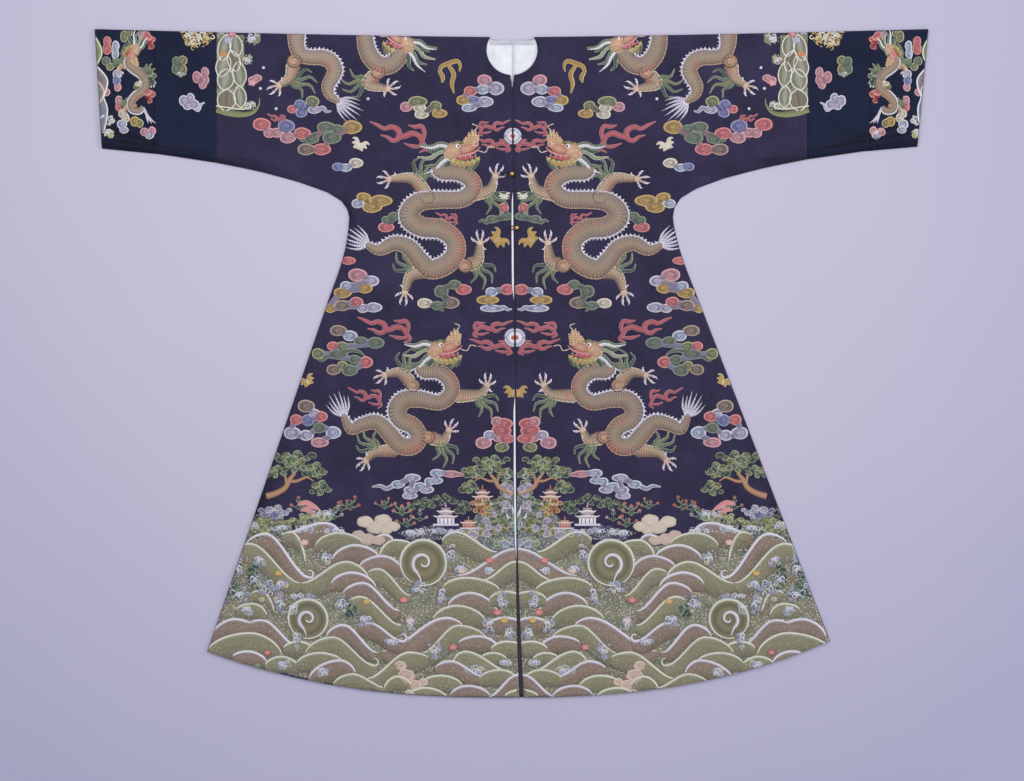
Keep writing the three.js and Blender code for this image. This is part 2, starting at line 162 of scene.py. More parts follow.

# %% [markdown]
# ## Folds and creases
# Silk that is stiff with stitching doesn't drape in deep folds. It lies in broad, low swells, with a few
# long creases where a sleeve was folded for storage. Each one is placed as a soft ridge or trough
# along a line: a bell curve across, easing in and out at its ends. A slow ripple of a few tenths of a
# millimetre stands for the pull of the stitches.

# %% Table of folds: from, to, height (a trough is negative), half width
FOLDS = [
    ((-880, 484), (-640, 438), 3.8, 6.5), ((-872, 467), (-720, 448), 3.0, 5),
    ((-700, 462), (-400, 408), 2.4, 12), ((-800, 530), (-560, 486), 1.6, 16),
    ((868, 500), (585, 441), 4.0, 7), ((862, 479), (690, 455), 3.2, 5),
    ((700, 470), (400, 414), 2.4, 12), ((820, 545), (600, 505), 1.6, 16),
    ((-330, 330), (-300, 120), 1.8, 30), ((335, 335), (310, 100), 1.6, 28),
    ((-250, -60), (-330, -600), 2.2, 48), ((-150, -180), (-165, -660), 1.6, 40),
    ((-420, -250), (-520, -590), 1.8, 42), ((240, -90), (300, -610), 2.0, 46),
    ((150, -220), (150, -670), 1.6, 38), ((430, -230), (545, -570), 2.2, 44)]
CREASES = [((-876, 500), (-735, 462), -1.5, 4.5), ((-850, 474), (-640, 441), -1.3, 4),
           ((-790, 459), (-560, 428), 1.4, 4.5), ((-700, 446), (-520, 424), -0.7, 3),
           ((-868, 521), (-790, 500), 0.6, 4), ((-620, 470), (-450, 440), 0.5, 6),
           ((872, 516), (700, 470), -1.5, 4.5), ((856, 488), (640, 452), -1.3, 4),
           ((800, 468), (560, 434), 1.4, 4.5), ((690, 452), (500, 424), -0.7, 3),
           ((866, 531), (770, 506), 0.6, 4), ((630, 478), (440, 446), 0.5, 6),
           ((-500, 420), (-370, 372), 0.5, 5), ((505, 424), (372, 378), 0.5, 5),
           ((-352, 350), (-322, 250), -0.5, 5), ((350, 352), (322, 246), -0.5, 5),
           ((-560, -330), (-600, -560), 0.5, 9), ((585, -330), (628, -540), 0.5, 9),
           ((-60, 560), (-210, 530), 0.35, 14), ((60, 556), (220, 528), 0.35, 14),
           ((-460, 640), (-330, 560), 0.4, 12), ((470, 642), (340, 566), 0.4, 12),
           ((-380, -40), (-350, -210), 0.4, 8), ((390, -30), (372, -200), 0.4, 8),
           ((-90, -520), (-105, -690), 0.4, 7), ((84, -540), (98, -690), 0.4, 7),
           ((-230, -560), (-262, -690), 0.45, 8), ((250, -560), (286, -680), 0.45, 8),
           ((-420, -540), (-452, -655), 0.4, 8), ((440, -540), (474, -640), 0.4, 8)]
RIPPLES = [(46, 0.9, 0.13, 0.4), (61, 2.3, 0.12, 1.9), (97, 0.3, 0.2, 3.3), (138, 1.5, 0.22, 5.1),
           (29, 1.2, 0.05, 2.2)]


# %% Height of the folds above the flat cloth
def ridges(x, y, rows):
    """Sum of ridges, each high * exp(-(off / wide)^2) across and eased over a fifth of its length at each
    end."""
    high = np.zeros(np.shape(x))
    for (x0, y0), (x1, y1), top, wide in rows:
        dx, dy = x1 - x0, y1 - y0
        length = math.hypot(dx, dy)
        t = ((x - x0) * dx + (y - y0) * dy) / length**2
        off = ((x - x0) * dy - (y - y0) * dx) / length
        high = high + top * smooth(t / 0.2) * smooth((1 - t) / 0.2) * np.exp(-((off / wide) ** 2))
    return high


def relief(x, y):
    """Ridges and slow ripples, sin of the distance along a direction. It fades out near the opening and
    towards the shoulder fold."""
    high = ridges(x, y, FOLDS + CREASES)
    for pitch, turn, top, phase in RIPPLES:
        high = high + top * np.sin((x * math.cos(turn) + y * math.sin(turn)) * 2 * math.pi / pitch + phase)
    middle = np.abs(x - opening(y, 1))
    return high * smooth((middle - 30) / 30) * smooth((SHOULDER_Y - y) / 60)


SEAM_LIFT = ((0, 4.5, 9, SEAM_TURN), (0, 0.6, 0.93, 1))


def top_z(side, x, y):
    """Height of the coat's upper face: four layers deep, coming down over the last 14 mm to the side seam,
    with the folds on top. Past the start of the shoulder fold it follows the fold's round."""
    lift = through(*SEAM_LIFT, edge_distance(side, x, y))
    flat = mix(LAYER, OUTER_Z, lift) + relief(x, y) * lift + WALL
    past = y - (shoulder_y(x) - STACK / 2)
    turned = STACK / 2 + np.sqrt(np.clip((STACK / 2) ** 2 - past**2, 0, None))
    return np.where(past > 0, turned, flat)


print("highest fold:", max(row[2] for row in FOLDS), "mm; folds and creases:", len(FOLDS) + len(CREASES))

# %% [markdown]
# ## Cloth as closed walls
# Each length of cloth has a face that shows and a face 1 mm behind it. A plane with a Solidify modifier
# would give that too, but the shoulder fold then pinches. Here both faces are worked out as grids, and a
# rim is laid round whatever edge is free, so the wall is closed everywhere and its thickness is true.


# %% Meshes from grids
def grid_quads(rows, columns, first=0):
    """Corner numbers of the quads between neighbouring rows and columns of a grid."""
    index = first + np.arange(rows * columns).reshape(rows, columns)
    return np.stack([index[:-1, :-1], index[:-1, 1:], index[1:, 1:], index[1:, :-1]], -1).reshape(-1, 4)


def thicken(outer, inner, quads):
    """Closed wall: both faces, and a quad from one to the other on every edge that only one quad uses."""
    count = len(outer)
    edges = np.stack([quads, np.roll(quads, -1, 1)], -1).reshape(-1, 2)
    key = edges.min(1) * count + edges.max(1)
    _, first, uses = np.unique(key, return_index=True, return_counts=True)
    a, b = edges[first[uses == 1]].T
    rim = np.stack([b, a, a + count, b + count], 1)
    return np.concatenate([outer, inner]), np.concatenate([quads, quads[:, ::-1] + count, rim])


def new_piece(name, places, quads):
    """A mesh object at the origin, from places in millimetres and quads."""
    mesh = bpy.data.meshes.new(name)
    mesh.vertices.add(len(places))
    mesh.vertices.foreach_set("co", (places * MM).astype(np.float32).ravel())
    mesh.loops.add(quads.size)
    mesh.loops.foreach_set("vertex_index", quads.astype(np.int32).ravel())
    mesh.polygons.add(len(quads))
    mesh.polygons.foreach_set("loop_start", np.arange(0, quads.size, 4, dtype=np.int32))
    mesh.polygons.foreach_set("use_smooth", np.ones(len(quads), bool))
    mesh.update(calc_edges=True)
    mesh.validate()
    piece = bpy.data.objects.new(name, mesh)
    bpy.context.scene.collection.objects.link(piece)
    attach(piece, "root")
    return piece


# %% A body length, folded over the shoulder
FOLD_STEPS = 10
BODY_COLUMNS, STRIP_COLUMNS = 80, 8
BACK_ROWS = 64


def row_places(side, level, inner, end_x, end_y, t):
    """Rows run from the opening to the side: straight in x, and bending from their level on the middle
    line to the end's height as (distance out / end)^bow."""
    bow = np.where(level > FOOT_LEVEL, SHOULDER_BOW, through(SIDE[side][:, 0], SIDE[side][:, 3], level))
    x = mix(inner[:, None], side * end_x[:, None], t[None])
    share = np.clip(np.abs(x) / end_x[:, None], 0, 1) ** bow[:, None]
    return x, mix(level[:, None], end_y[:, None], share)


def row_ends(side, level, width, seam_in):
    """Outer ends of the rows: on the side edge below the sleeve seam, and up that seam above it. The last
    8 mm of levels below the seam bring the ends out to it, so no wedge is left between the pieces."""
    out, high = side_point(side, np.minimum(level, FOOT_LEVEL), width)
    out = mix(out, SLEEVE_SEAM, smooth((level - FOOT_LEVEL + 8) / 8))
    start = SIDE[side][-1, 2] + SEAM_TURN
    climb = mix(start, shoulder_y(SLEEVE_SEAM), (level - FOOT_LEVEL) / (SHOULDER_Y - FOOT_LEVEL))
    above = level > FOOT_LEVEL
    end_x = np.where(above, SLEEVE_SEAM - seam_in, np.minimum(out, SLEEVE_SEAM - seam_in))
    return end_x, np.where(above, climb, high)


def front_edge(side, y, neck_radius=NECK_RADIUS, least=0.0, strip=True):
    """Inner edge of a front: beside the opening line, round the neck, and clear of the pale edge."""
    half = np.maximum(opening(y, 2), least)
    pale = opening(y, 3)
    half = np.where((pale > 0) & strip & (side == LEFT), half + pale + GAP, half)
    line = opening(y, 1) + side * half
    inside = neck_radius**2 - (y - NECK_Y) ** 2
    neck = NECK_X + side * np.sqrt(np.clip(inside, 0, None))
    round_neck = (inside > 0) & (side * neck > side * line)
    return np.where(round_neck, neck, line)


def back_edge(side, level, back_y, shoulder_half):
    """Inner edge of a back: the middle seam, and the shallow scoop of the back neck."""
    scoop = np.sqrt(np.clip((level - back_y) / (SHOULDER_Y - STACK / 2 - back_y), 0, 1))
    neck = NECK_X + side * mix(GAP / 2, shoulder_half, scoop)
    return np.where(level >= back_y, neck, opening(level, 1) + side * GAP / 2)


def fold_over(outer_row, z_low, z_high):
    """Rows round the shoulder: half circles about one axis, from the front face over to the back."""
    radius = (z_high - z_low) / 2
    angle = np.linspace(0, math.pi, FOLD_STEPS + 1)[1:-1, None]
    x = np.broadcast_to(outer_row[:, 0], (FOLD_STEPS - 1, len(outer_row)))
    axis_y = shoulder_y(x) - STACK / 2
    return [np.stack([x, axis_y + r * np.sin(angle), z_low + radius + r * np.cos(angle) + 0 * x], -1)
            for r in (radius, radius - WALL)]


def eased(y, level):
    """Rows near the shoulder come down by up to half the stack, to where the fold begins."""
    return y - STACK / 2 * np.clip((level[:, None] - EASE_START) / (SHOULDER_Y - EASE_START), 0, 1)


def body_length(side, cut):
    """Both faces and quads of one length: front rows from the hem up, round the shoulder, down the back,
    and for the outer cloth a strip that brings the front down to the side seam."""
    neck = NECK_Y + cut["neck"] * np.sin(np.radians(np.linspace(-90, 24, 20)))
    level = np.unique(np.concatenate([np.linspace(HEM_Y, FOOT_LEVEL, cut["rows"]), neck,
                                      np.linspace(FOOT_LEVEL, SHOULDER_Y, cut["rows"] // 4)]))
    level = level[np.concatenate([[True], np.diff(level) > 0.4])]
    settled = np.where(level == HEM_Y, HEM_Y + cut["hem_up"], level)
    t = np.linspace(0, 1, cut["columns"])
    end_x, end_y = row_ends(side, settled, cut["turn"], cut["seam_in"])
    inner = front_edge(side, settled, cut["neck"], cut["least"], cut["outer"])
    x, y = row_places(side, settled, inner, end_x, end_y, t)
    y = eased(y, level)
    high = relief(x, y) if cut["outer"] else np.zeros(x.shape)
    front = [np.stack([x, y, cut["front_z"] + w + high], -1) for w in (WALL, 0)]
    over = fold_over(front[0][-1], cut["back_z"], cut["front_z"] + WALL)
    back_level = np.unique(np.concatenate([
        np.linspace(HEM_Y + cut["hem_up"], cut["back_neck"], BACK_ROWS),
        cut["back_neck"] + (SHOULDER_Y - cut["back_neck"]) * np.linspace(0, 1, 7) ** 2]))[::-1]
    end_x, end_y = row_ends(side, back_level, 0 if cut["outer"] else cut["turn"], cut["seam_in"])
    inner = back_edge(side, back_level, cut["back_neck"], cut["shoulder_half"])
    x, y = row_places(side, back_level, inner, end_x, end_y, t)
    y = eased(y, back_level)
    x[0] = front[0][-1][:, 0]
    y[0] = shoulder_y(x[0]) - STACK / 2
    puff = cut["puff"](x, y)
    back = [np.stack([x, y, cut["back_z"] + w + puff], -1) for w in (0, WALL)]
    faces = [np.concatenate([front[k], over[k], back[k]]) for k in (0, 1)]
    rows, columns = faces[0].shape[:2]
    faces = [face.reshape(-1, 3) for face in faces]
    quads = grid_quads(rows, columns)
    if cut["outer"]:
        faces, quads = add_strip(side, level, front, faces, quads, columns)
    return thicken(*faces, quads if side == RIGHT else quads[:, ::-1])


def add_strip(side, level, front, faces, quads, columns):
    """The last 14 mm of the front, from the ends of its rows straight to the edge, coming down as it goes."""
    below = np.flatnonzero(level <= FOOT_LEVEL)
    start = front[0][below, -1]
    foot_x, foot_y = side_point(side, np.minimum(level[below], FOOT_LEVEL - 1e-6))
    t = np.linspace(0, 1, STRIP_COLUMNS + 1)[None, 1:]
    x = mix(start[:, :1], side * foot_x[:, None], t)
    y = mix(start[:, 1:2], foot_y[:, None], t)
    lift = through(*SEAM_LIFT, SEAM_TURN * (1 - t))
    low = mix(LAYER, OUTER_Z, lift) + relief(x, y) * lift
    strip = [np.stack([x, y, low + w], -1).reshape(-1, 3) for w in (WALL, 0)]
    first = len(faces[0])
    inside = grid_quads(len(below), STRIP_COLUMNS, first)
    seam = below * columns + columns - 1
    edge = first + np.arange(len(below)) * STRIP_COLUMNS
    joint = np.stack([seam[:-1], edge[:-1], edge[1:], seam[1:]], 1)
    faces = [np.concatenate(pair) for pair in zip(faces, strip)]
    return faces, np.concatenate([quads, joint, inside])


def neck_puff(x, y):
    """Soft upright folds of the back lining where it shows in the neck: slow waves across, fading out
    below the front's edge and beside the neck."""
    waves = 0.28 * np.sin(x / 5.3 + 0.6) + 0.2 * np.sin(x / 2.9 + y / 40) + 0.15 * np.sin((x + y) / 8.1)
    near = smooth((62 - np.abs(x - NECK_X)) / 14) * smooth((y - 596) / 16)
    return (0.35 + waves) * near * 0.9


OUTER_CUT = {"outer": True, "rows": 176, "columns": BODY_COLUMNS, "turn": SEAM_TURN, "hem_up": 0,
             "seam_in": GAP / 2, "front_z": OUTER_Z, "back_z": 0.0, "neck": NECK_RADIUS, "least": 0,
             "back_neck": NECK_BACK, "shoulder_half": 48, "puff": lambda x, y: 0 * x}
LINING_CUT = {"outer": False, "rows": 60, "columns": 60, "turn": SEAM_TURN + 1.5, "hem_up": 5, "seam_in": 3,
              "front_z": 2 * LAYER, "back_z": LAYER, "neck": NECK_RADIUS + 3, "least": LAP_HALF + GAP,
              "back_neck": NECK_BACK - 1, "shoulder_half": 51, "puff": neck_puff}
cloth = {}
for side, hand in ((LEFT, "left"), (RIGHT, "right")):
    cloth["body_" + hand] = new_piece("coat_" + hand, *body_length(side, OUTER_CUT))
    cloth["lining_" + hand] = new_piece("lining_cloth_" + hand, *body_length(side, LINING_CUT))
for name, piece in cloth.items():
    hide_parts(name)
    print(name, len(piece.data.polygons), "faces")


# %% [markdown]
# ## Sleeve and cuff bands
# Each band is a tube of its own silk that lies flat, so it is one grid as well: up the front from the lower
# edge, round the top and down the back. The cuff's end slants in towards the lower edge.


# %% The bands
def band(side, start, stop, slanted, columns=30, rows=56):
    """Rows are set by height above the band's lower edge: close together over the turned 14 mm, then even
    up to the shoulder fold, and a few down the back. The slant takes a share of the cuff's width off,
    growing down its end."""
    out = np.linspace(start, stop, columns)
    foot, top = sleeve_foot(side, out), shoulder_y(out) - STACK / 2
    turn = np.linspace(0, SEAM_TURN, STRIP_COLUMNS + 1)
    even = np.linspace(0, 1, rows)[1:]
    front_y = np.concatenate([foot + turn[:, None], mix(foot + SEAM_TURN, top, even[:, None])])
    back_y = mix(top, foot, np.linspace(0, 1, 24)[:, None])

    def places(y, z, w):
        fall = np.clip((shoulder_y(stop) - y) / (shoulder_y(stop) - sleeve_foot(side, stop)), 0, 1)
        x = side * (out - slanted * fall * (out - start) / (stop - start) * (HALF_SPAN - CUFF_FOOT[side]))
        return np.stack([x, y, z(x, y) + w + 0 * x], -1)

    lift = np.concatenate([through(*SEAM_LIFT, turn), np.ones(rows - 1)])[:, None]
    rise = lambda x, y: mix(LAYER, OUTER_Z, lift) + relief(x, y) * lift
    front = [places(front_y, rise, w) for w in (WALL, 0)]
    over = fold_over(front[0][-1], 0.0, STACK)
    back = [places(back_y, lambda x, y: 0 * x, w) for w in (0, WALL)]
    faces = [np.concatenate([front[k], over[k], back[k]]) for k in (0, 1)]
    quads = grid_quads(*faces[0].shape[:2])
    return thicken(*[face.reshape(-1, 3) for face in faces], quads if side == RIGHT else quads[:, ::-1])


for side, hand in ((LEFT, "left"), (RIGHT, "right")):
    sleeve = band(side, SLEEVE_SEAM + GAP / 2, CUFF_SEAM - GAP / 2, False)
    cloth["sleeve_band_" + hand] = new_piece("sleeve_" + hand, *sleeve)
    cloth["cuff_" + hand] = new_piece("cuff_cloth_" + hand, *band(side, CUFF_SEAM + GAP / 2, HALF_SPAN, True))
    for name in ("sleeve_band_" + hand, "cuff_" + hand):
        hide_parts(name)
print("bands:", [len(cloth[n].data.polygons) for n in cloth if "band" in n or "cuff" in n])

# %% [markdown]
# ## Creases and sleeve edges in painted shade
# Stiff silk lies in creases where it was folded, and the lower edge of a sleeve lies in its own shadow. The
# troughs of the creases get painted shade, their ridges a painted highlight, and a sleeve's lower edge a
# painted shadow. Their amounts are stored on the cloth's points, and the finish of the silk darkens by them.

# %% Note the creases on the cloth, for the painted shade in its finish
DARK_EDGE, DARK_START, DARK_FADE = 28, 420, 200
for name, piece in cloth.items():
    if not name.startswith("lining"):
        places = np.zeros(len(piece.data.vertices) * 3, np.float32)
        piece.data.vertices.foreach_get("co", places)
        x, y, z = places.reshape(-1, 3).T.astype(float) / MM
        side = LEFT if name.endswith("left") else RIGHT
        near = edge_distance(side, x, y) / DARK_EDGE
        # painted shadow along a sleeve's lower edge; painted shade in crease troughs, painted highlight on
        # ridges
        lower_edge_shadow = smooth(1 - near) * smooth((np.abs(x) - DARK_START) / DARK_FADE)
        painted_shading = np.clip(0.5 + ridges(x, y, CREASES) / 4 - 0.24 * lower_edge_shadow, 0, 1)
        painted_shading = np.where(z > LAYER, painted_shading, 0.5).astype(np.float32)
        piece.data.attributes.new("crease", "FLOAT", "POINT").data.foreach_set("value", painted_shading)
        print(name, "is darkest at", round(float(painted_shading.min()), 2))

# %% [markdown]
# ## Strips at the opening
# Behind the opening lies a dark underlap, beside it the lining's pale edge looks out in two stretches, and
# a pale facing binds the back of the neck. They are narrow flat walls with softly rounded long edges.


# %% Underlap, pale edges and facing
def flat_strip(name, node, left_line, right_line, z, columns=9, wobble=0.0):
    """A wall between two lines of points: its upper face is a low crown, highest in the middle."""
    t = np.linspace(0, 1, columns)[None]
    wave = wobble * np.sin(left_line[:, 1:2] / 23) * np.sin(left_line[:, 1:2] / 61 + 1)
    x = mix(left_line[:, :1] + wave, right_line[:, :1], t)
    y = mix(left_line[:, 1:2], right_line[:, 1:2], t)
    crown = np.sqrt(np.clip(1 - (2 * t - 1) ** 4, 0, 1))
    top = np.stack([x, y, z + mix(0.35, WALL, crown) + 0 * x], -1)
    foot = np.stack([x, y, z + 0 * x], -1)
    quads = grid_quads(len(left_line), columns)
    piece = new_piece(name, *thicken(top.reshape(-1, 3), foot.reshape(-1, 3), quads))
    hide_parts(node)
    return piece


lap_y = np.linspace(HEM_Y + 5, 585, 200)
lap = [np.stack([opening(lap_y, 1) + s * LAP_HALF, lap_y], 1) for s in (LEFT, RIGHT)]
cloth["front_underlap"] = flat_strip("underlap", "front_underlap", *lap, 2 * LAYER)
for name, low, high in (("upper", 134, 362), ("lower", -416, -70)):
    pale_y = np.linspace(low, high, 120)
    right_x = opening(pale_y, 1) - opening(pale_y, 2)
    left_x = right_x - opening(pale_y, 3)
    pale = [np.stack([x, pale_y], 1) for x in (left_x, right_x)]
    node = "lining_edge_" + name
    cloth[node] = flat_strip("pale_edge_" + name, node, *pale, OUTER_Z, wobble=0.4)
facing_x = np.linspace(-46.5, 46.5, 60)
facing = [np.stack([NECK_X + facing_x, 0 * facing_x + y], 1) for y in (684.3, 674.2)]
cloth["neck_facing"] = flat_strip("neck_binding", "neck_facing", *facing, 2 * LAYER)
print("strips:", [len(cloth[n].data.polygons) for n in ("front_underlap", "neck_facing")])

# %% [markdown]
# ## Embroidery: how it is made here
# The real motifs are satin stitch and couched metal thread, each patch shaded from light to dark and edged
# with a pale cord. Painting them on the cloth as a picture would lose their relief. Here each patch is a
# small grid of its own, laid a little above the cloth or the patch below it, crowned across its width and
# pressed in at its edge. Places are given as (distance out from the opening, height), so one drawing
# serves both halves of the coat, as the embroiderer's own reversed pattern did.

# %% Colours of the floss
GOLD, GOLD_PALE, GOLD_DARK = (160, 138, 118), (188, 162, 136), (112, 94, 88)
CORAL, RED, PINK, ROSE = (212, 112, 112), (172, 62, 72), (206, 146, 156), (226, 176, 180)
GREEN, GREEN_PALE, GREEN_DARK = (102, 118, 98), (152, 164, 140), (66, 84, 74)
OLIVE, OLIVE_PALE, OLIVE_DARK = (126, 128, 88), (156, 158, 112), (88, 96, 66)
BLUE, BLUE_PALE, BLUE_DARK = (118, 122, 176), (172, 182, 208), (62, 66, 116)
WHITE, CREAM, LILAC = (226, 226, 230), (218, 208, 184), (186, 176, 206)
OCHRE, OCHRE_DARK, BROWN, BROWN_DARK = (186, 150, 80), (140, 106, 60), (132, 112, 100), (92, 74, 72)
INK, GROUND = (40, 36, 54), (52, 46, 72)


def linear(rgb):
    """Screen colour 0 to 255 to scene-linear values."""
    c = np.asarray(rgb, float) / 255
    return np.where(c <= 0.04045, c / 12.92, ((c + 0.055) / 1.055) ** 2.4)


def shade(colours, t):
    """Colours spread evenly from 0 to 1 and blended between, at the places t."""
    table = linear(np.atleast_2d(colours))
    spots = np.linspace(0, 1, len(table))
    if len(table) == 1:
        return np.broadcast_to(table[0], (*np.shape(t), 3))
    return np.stack([np.interp(t, spots, table[:, c]) for c in range(3)], -1)


# %% Patches of stitches
SUNK, EDGE_HIGH = -0.15, 0.05
THIN_CORD, PLAIN_BEAD = 1.25, 8
THREAD_UNIT = 100  # millimetres of thread in one unit of the UV map
LEAST_QUAD = 0.04
chance = np.random.default_rng(7)


def round_quads(shape):
    """Quads of a grid whose last column joins its first."""
    index = np.arange(shape[0] * shape[1]).reshape(shape)
    nxt = np.roll(index, -1, 1)
    return np.stack([index[:-1], nxt[:-1], nxt[1:], index[1:]], -1).reshape(-1, 4)


def smooth_path(points, step):
    """Points a step apart on the Catmull-Rom curve through the given ones."""
    points = np.asarray(points, float)
    padded = np.concatenate([2 * points[:1] - points[1:2], points, 2 * points[-1:] - points[-2:-1]])
    span = np.linalg.norm(np.diff(points, axis=0), axis=1)
    parts = []
    for i, length in enumerate(span):
        p0, p1, p2, p3 = padded[i:i + 4]
        t = np.linspace(0, 1, max(round(length / step), 1), endpoint=False)[:, None]
        parts.append(0.5 * (2 * p1 + (p2 - p0) * t + (2 * p0 - 5 * p1 + 4 * p2 - p3) * t**2
                            + (3 * p1 - p0 - 3 * p2 + p3) * t**3))
    return np.concatenate(parts + [points[-1:]])


def lengths(line):
    return np.concatenate([[0], np.cumsum(np.linalg.norm(np.diff(line, axis=0), axis=1))])


def normals(line):
    """Unit vectors to the left of the line's direction."""
    ahead = np.gradient(line, axis=0)
    ahead /= np.maximum(np.linalg.norm(ahead, axis=1, keepdims=True), 1e-9)
    return np.stack([-ahead[:, 1], ahead[:, 0]], 1)


class Work:
    """One frame of embroidery: grids of points with place, height, colour and thread coordinates."""

    def __init__(self):
        self.grids = []

    def lay(self, d, y, high, colour, u, v, knots=0.0):
        """knots is the share, 0 to 1, to which seed knots show on the patch."""
        shape = np.shape(d)
        full = [np.array(np.broadcast_to(a, shape), float) for a in (d, y, high, u, v)]
        tint = 1 + 0.1 * (chance.random() - 0.5)
        self.grids.append((*full, np.broadcast_to(colour, (*shape, 3)) * tint, np.full(shape, knots)))

    def band(self, path, half, colours, base=0.3, rise=0.2, step=4.0, across=5):
        """Satin band: path + v * half * normal, crowned as base + rise * (1 - v^2). half is one value, or
        several spread evenly along it. colours run across from the right of the path to its left."""
        line = smooth_path(path, step)
        run = lengths(line)
        share = (run / run[-1])[:, None]
        half = np.atleast_1d(half).astype(float)
        wide = np.interp(share, np.linspace(0, 1, len(half)), half)
        inner = np.linspace(-0.9, 0.9, across - 2)
        v = np.array([-1, 0, 1]) if across == 3 else np.concatenate([[-1], inner, [1]])
        side = normals(line)
        d = line[:, :1] + side[:, :1] * wide * v
        y = line[:, 1:] + side[:, 1:] * wide * v
        edge = SUNK if across > 3 else base - 0.1
        high = np.where(np.abs(v) == 1, edge, base + rise * (1 - v**2)) + 0 * d
        high[[0, -1]] = np.where(np.abs(v) == 1, SUNK, base * 0.5)
        self.lay(d, y, high, shade(colours, (v + 1) / 2 + 0 * d), run[:, None], wide * v)

    def cord(self, path, half=1.1, colour=WHITE, base=0.45, rise=0.35, step=3.5):
        """Couched cord: a narrow ridge. A thin one is two faces that rest on the stitches under it."""
        self.band(path, half, [colour], base, rise, step, across=3 if np.max(half) <= THIN_CORD else 5)

    def lobe(self, at, radii, colours, base=0.3, rise=0.25, turn=0.0, rings=3, spokes=16, petals=0, dent=0.0):
        """Filled round patch: rings of points out from the middle, crowned as 1 - r^2, its rim pressed into
        the cloth. petals scallop the rim by dent. Threads run round it; a small patch is one plain bead."""
        r = np.concatenate([[0.02], np.linspace(0, 1, rings + 1)[1:-1], [0.93, 1.0]])[:, None]
        a = np.linspace(0, 2 * math.pi, spokes + 1)[None]
        rim = 1 + dent * (np.abs(np.sin(petals * a / 2)) - 1) if petals else 1
        p, q = r * rim * radii[0] * np.cos(a), r * rim * radii[1] * np.sin(a)
        c, s = math.cos(turn), math.sin(turn)
        d, y = at[0] + p * c - q * s, at[1] + p * s + q * c
        high = np.where(r == 1.0, SUNK, base + rise * (1 - r**2)) + 0 * d
        u, v = (a * radii[0], radii[0] * r) if radii[0] > PLAIN_BEAD else (2.5, 2.5)
        self.lay(d, y, high, shade(colours, r + 0 * d), u, v)


def ring(at, radii, start, stop, turn=0.0, count=14, shrink=1.0):
    """Points round an ellipse from one angle to another, in degrees, its radius going to shrink times."""
    a = np.radians(np.linspace(start, stop, count))
    r = np.linspace(1, shrink, count)
    p, q = radii[0] * r * np.cos(a), radii[1] * r * np.sin(a)
    c, s = math.cos(turn), math.sin(turn)
    return np.stack([at[0] + p * c - q * s, at[1] + p * s + q * c], 1)


def place(points, at, size=1.0, turn=0.0, flip=1):
    """Local points put into the drawing: flipped in their first coordinate, turned, sized and moved."""
    p = np.asarray(points, float) * (flip, 1)
    c, s = math.cos(turn), math.sin(turn)
    return np.stack([p[:, 0] * c - p[:, 1] * s, p[:, 0] * s + p[:, 1] * c], 1) * size + at


# %% From the drawing to the cloth
SHOULDER_ROOM, SIDE_ROOM, OPENING_ROOM, HEM_ROOM, CUFF_DEPTH = 0.3, 0.9, 0.7, 0.8, 250


def hem_y(side, out):
    table = SIDE[side][0]
    return HEM_Y + (table[2] - HEM_Y) * np.clip(out / table[1], 0, 1) ** table[3]


def keep_on_cloth(side, x, y):
    """Moves points that lie past an edge onto it: opening, neck, side and hem, cuff and shoulder. It says
    which were moved."""
    first_x, first_y = x, y
    y = np.minimum(y, shoulder_y(x) - SHOULDER_ROOM)
    out = np.interp(y, EDGE[side][:, 1], EDGE[side][:, 0], right=HALF_SPAN)
    cuff = HALF_SPAN - (HALF_SPAN - CUFF_FOOT[side]) * np.clip((shoulder_y(x) - y) / CUFF_DEPTH, 0, 1)
    out = np.where(y > SLEEVE_FOOT[side][2], cuff, np.minimum(out, cuff)) - SIDE_ROOM
    x = side * np.minimum(side * x, out)
    edge = front_edge(side, y) + side * OPENING_ROOM
    x = np.where(side * x < side * edge, edge, x)
    y = np.maximum(y, hem_y(side, np.abs(x)) + HEM_ROOM)
    return x, y, (np.abs(x - first_x) > 1e-6) | (np.abs(y - first_y) > 1e-6)


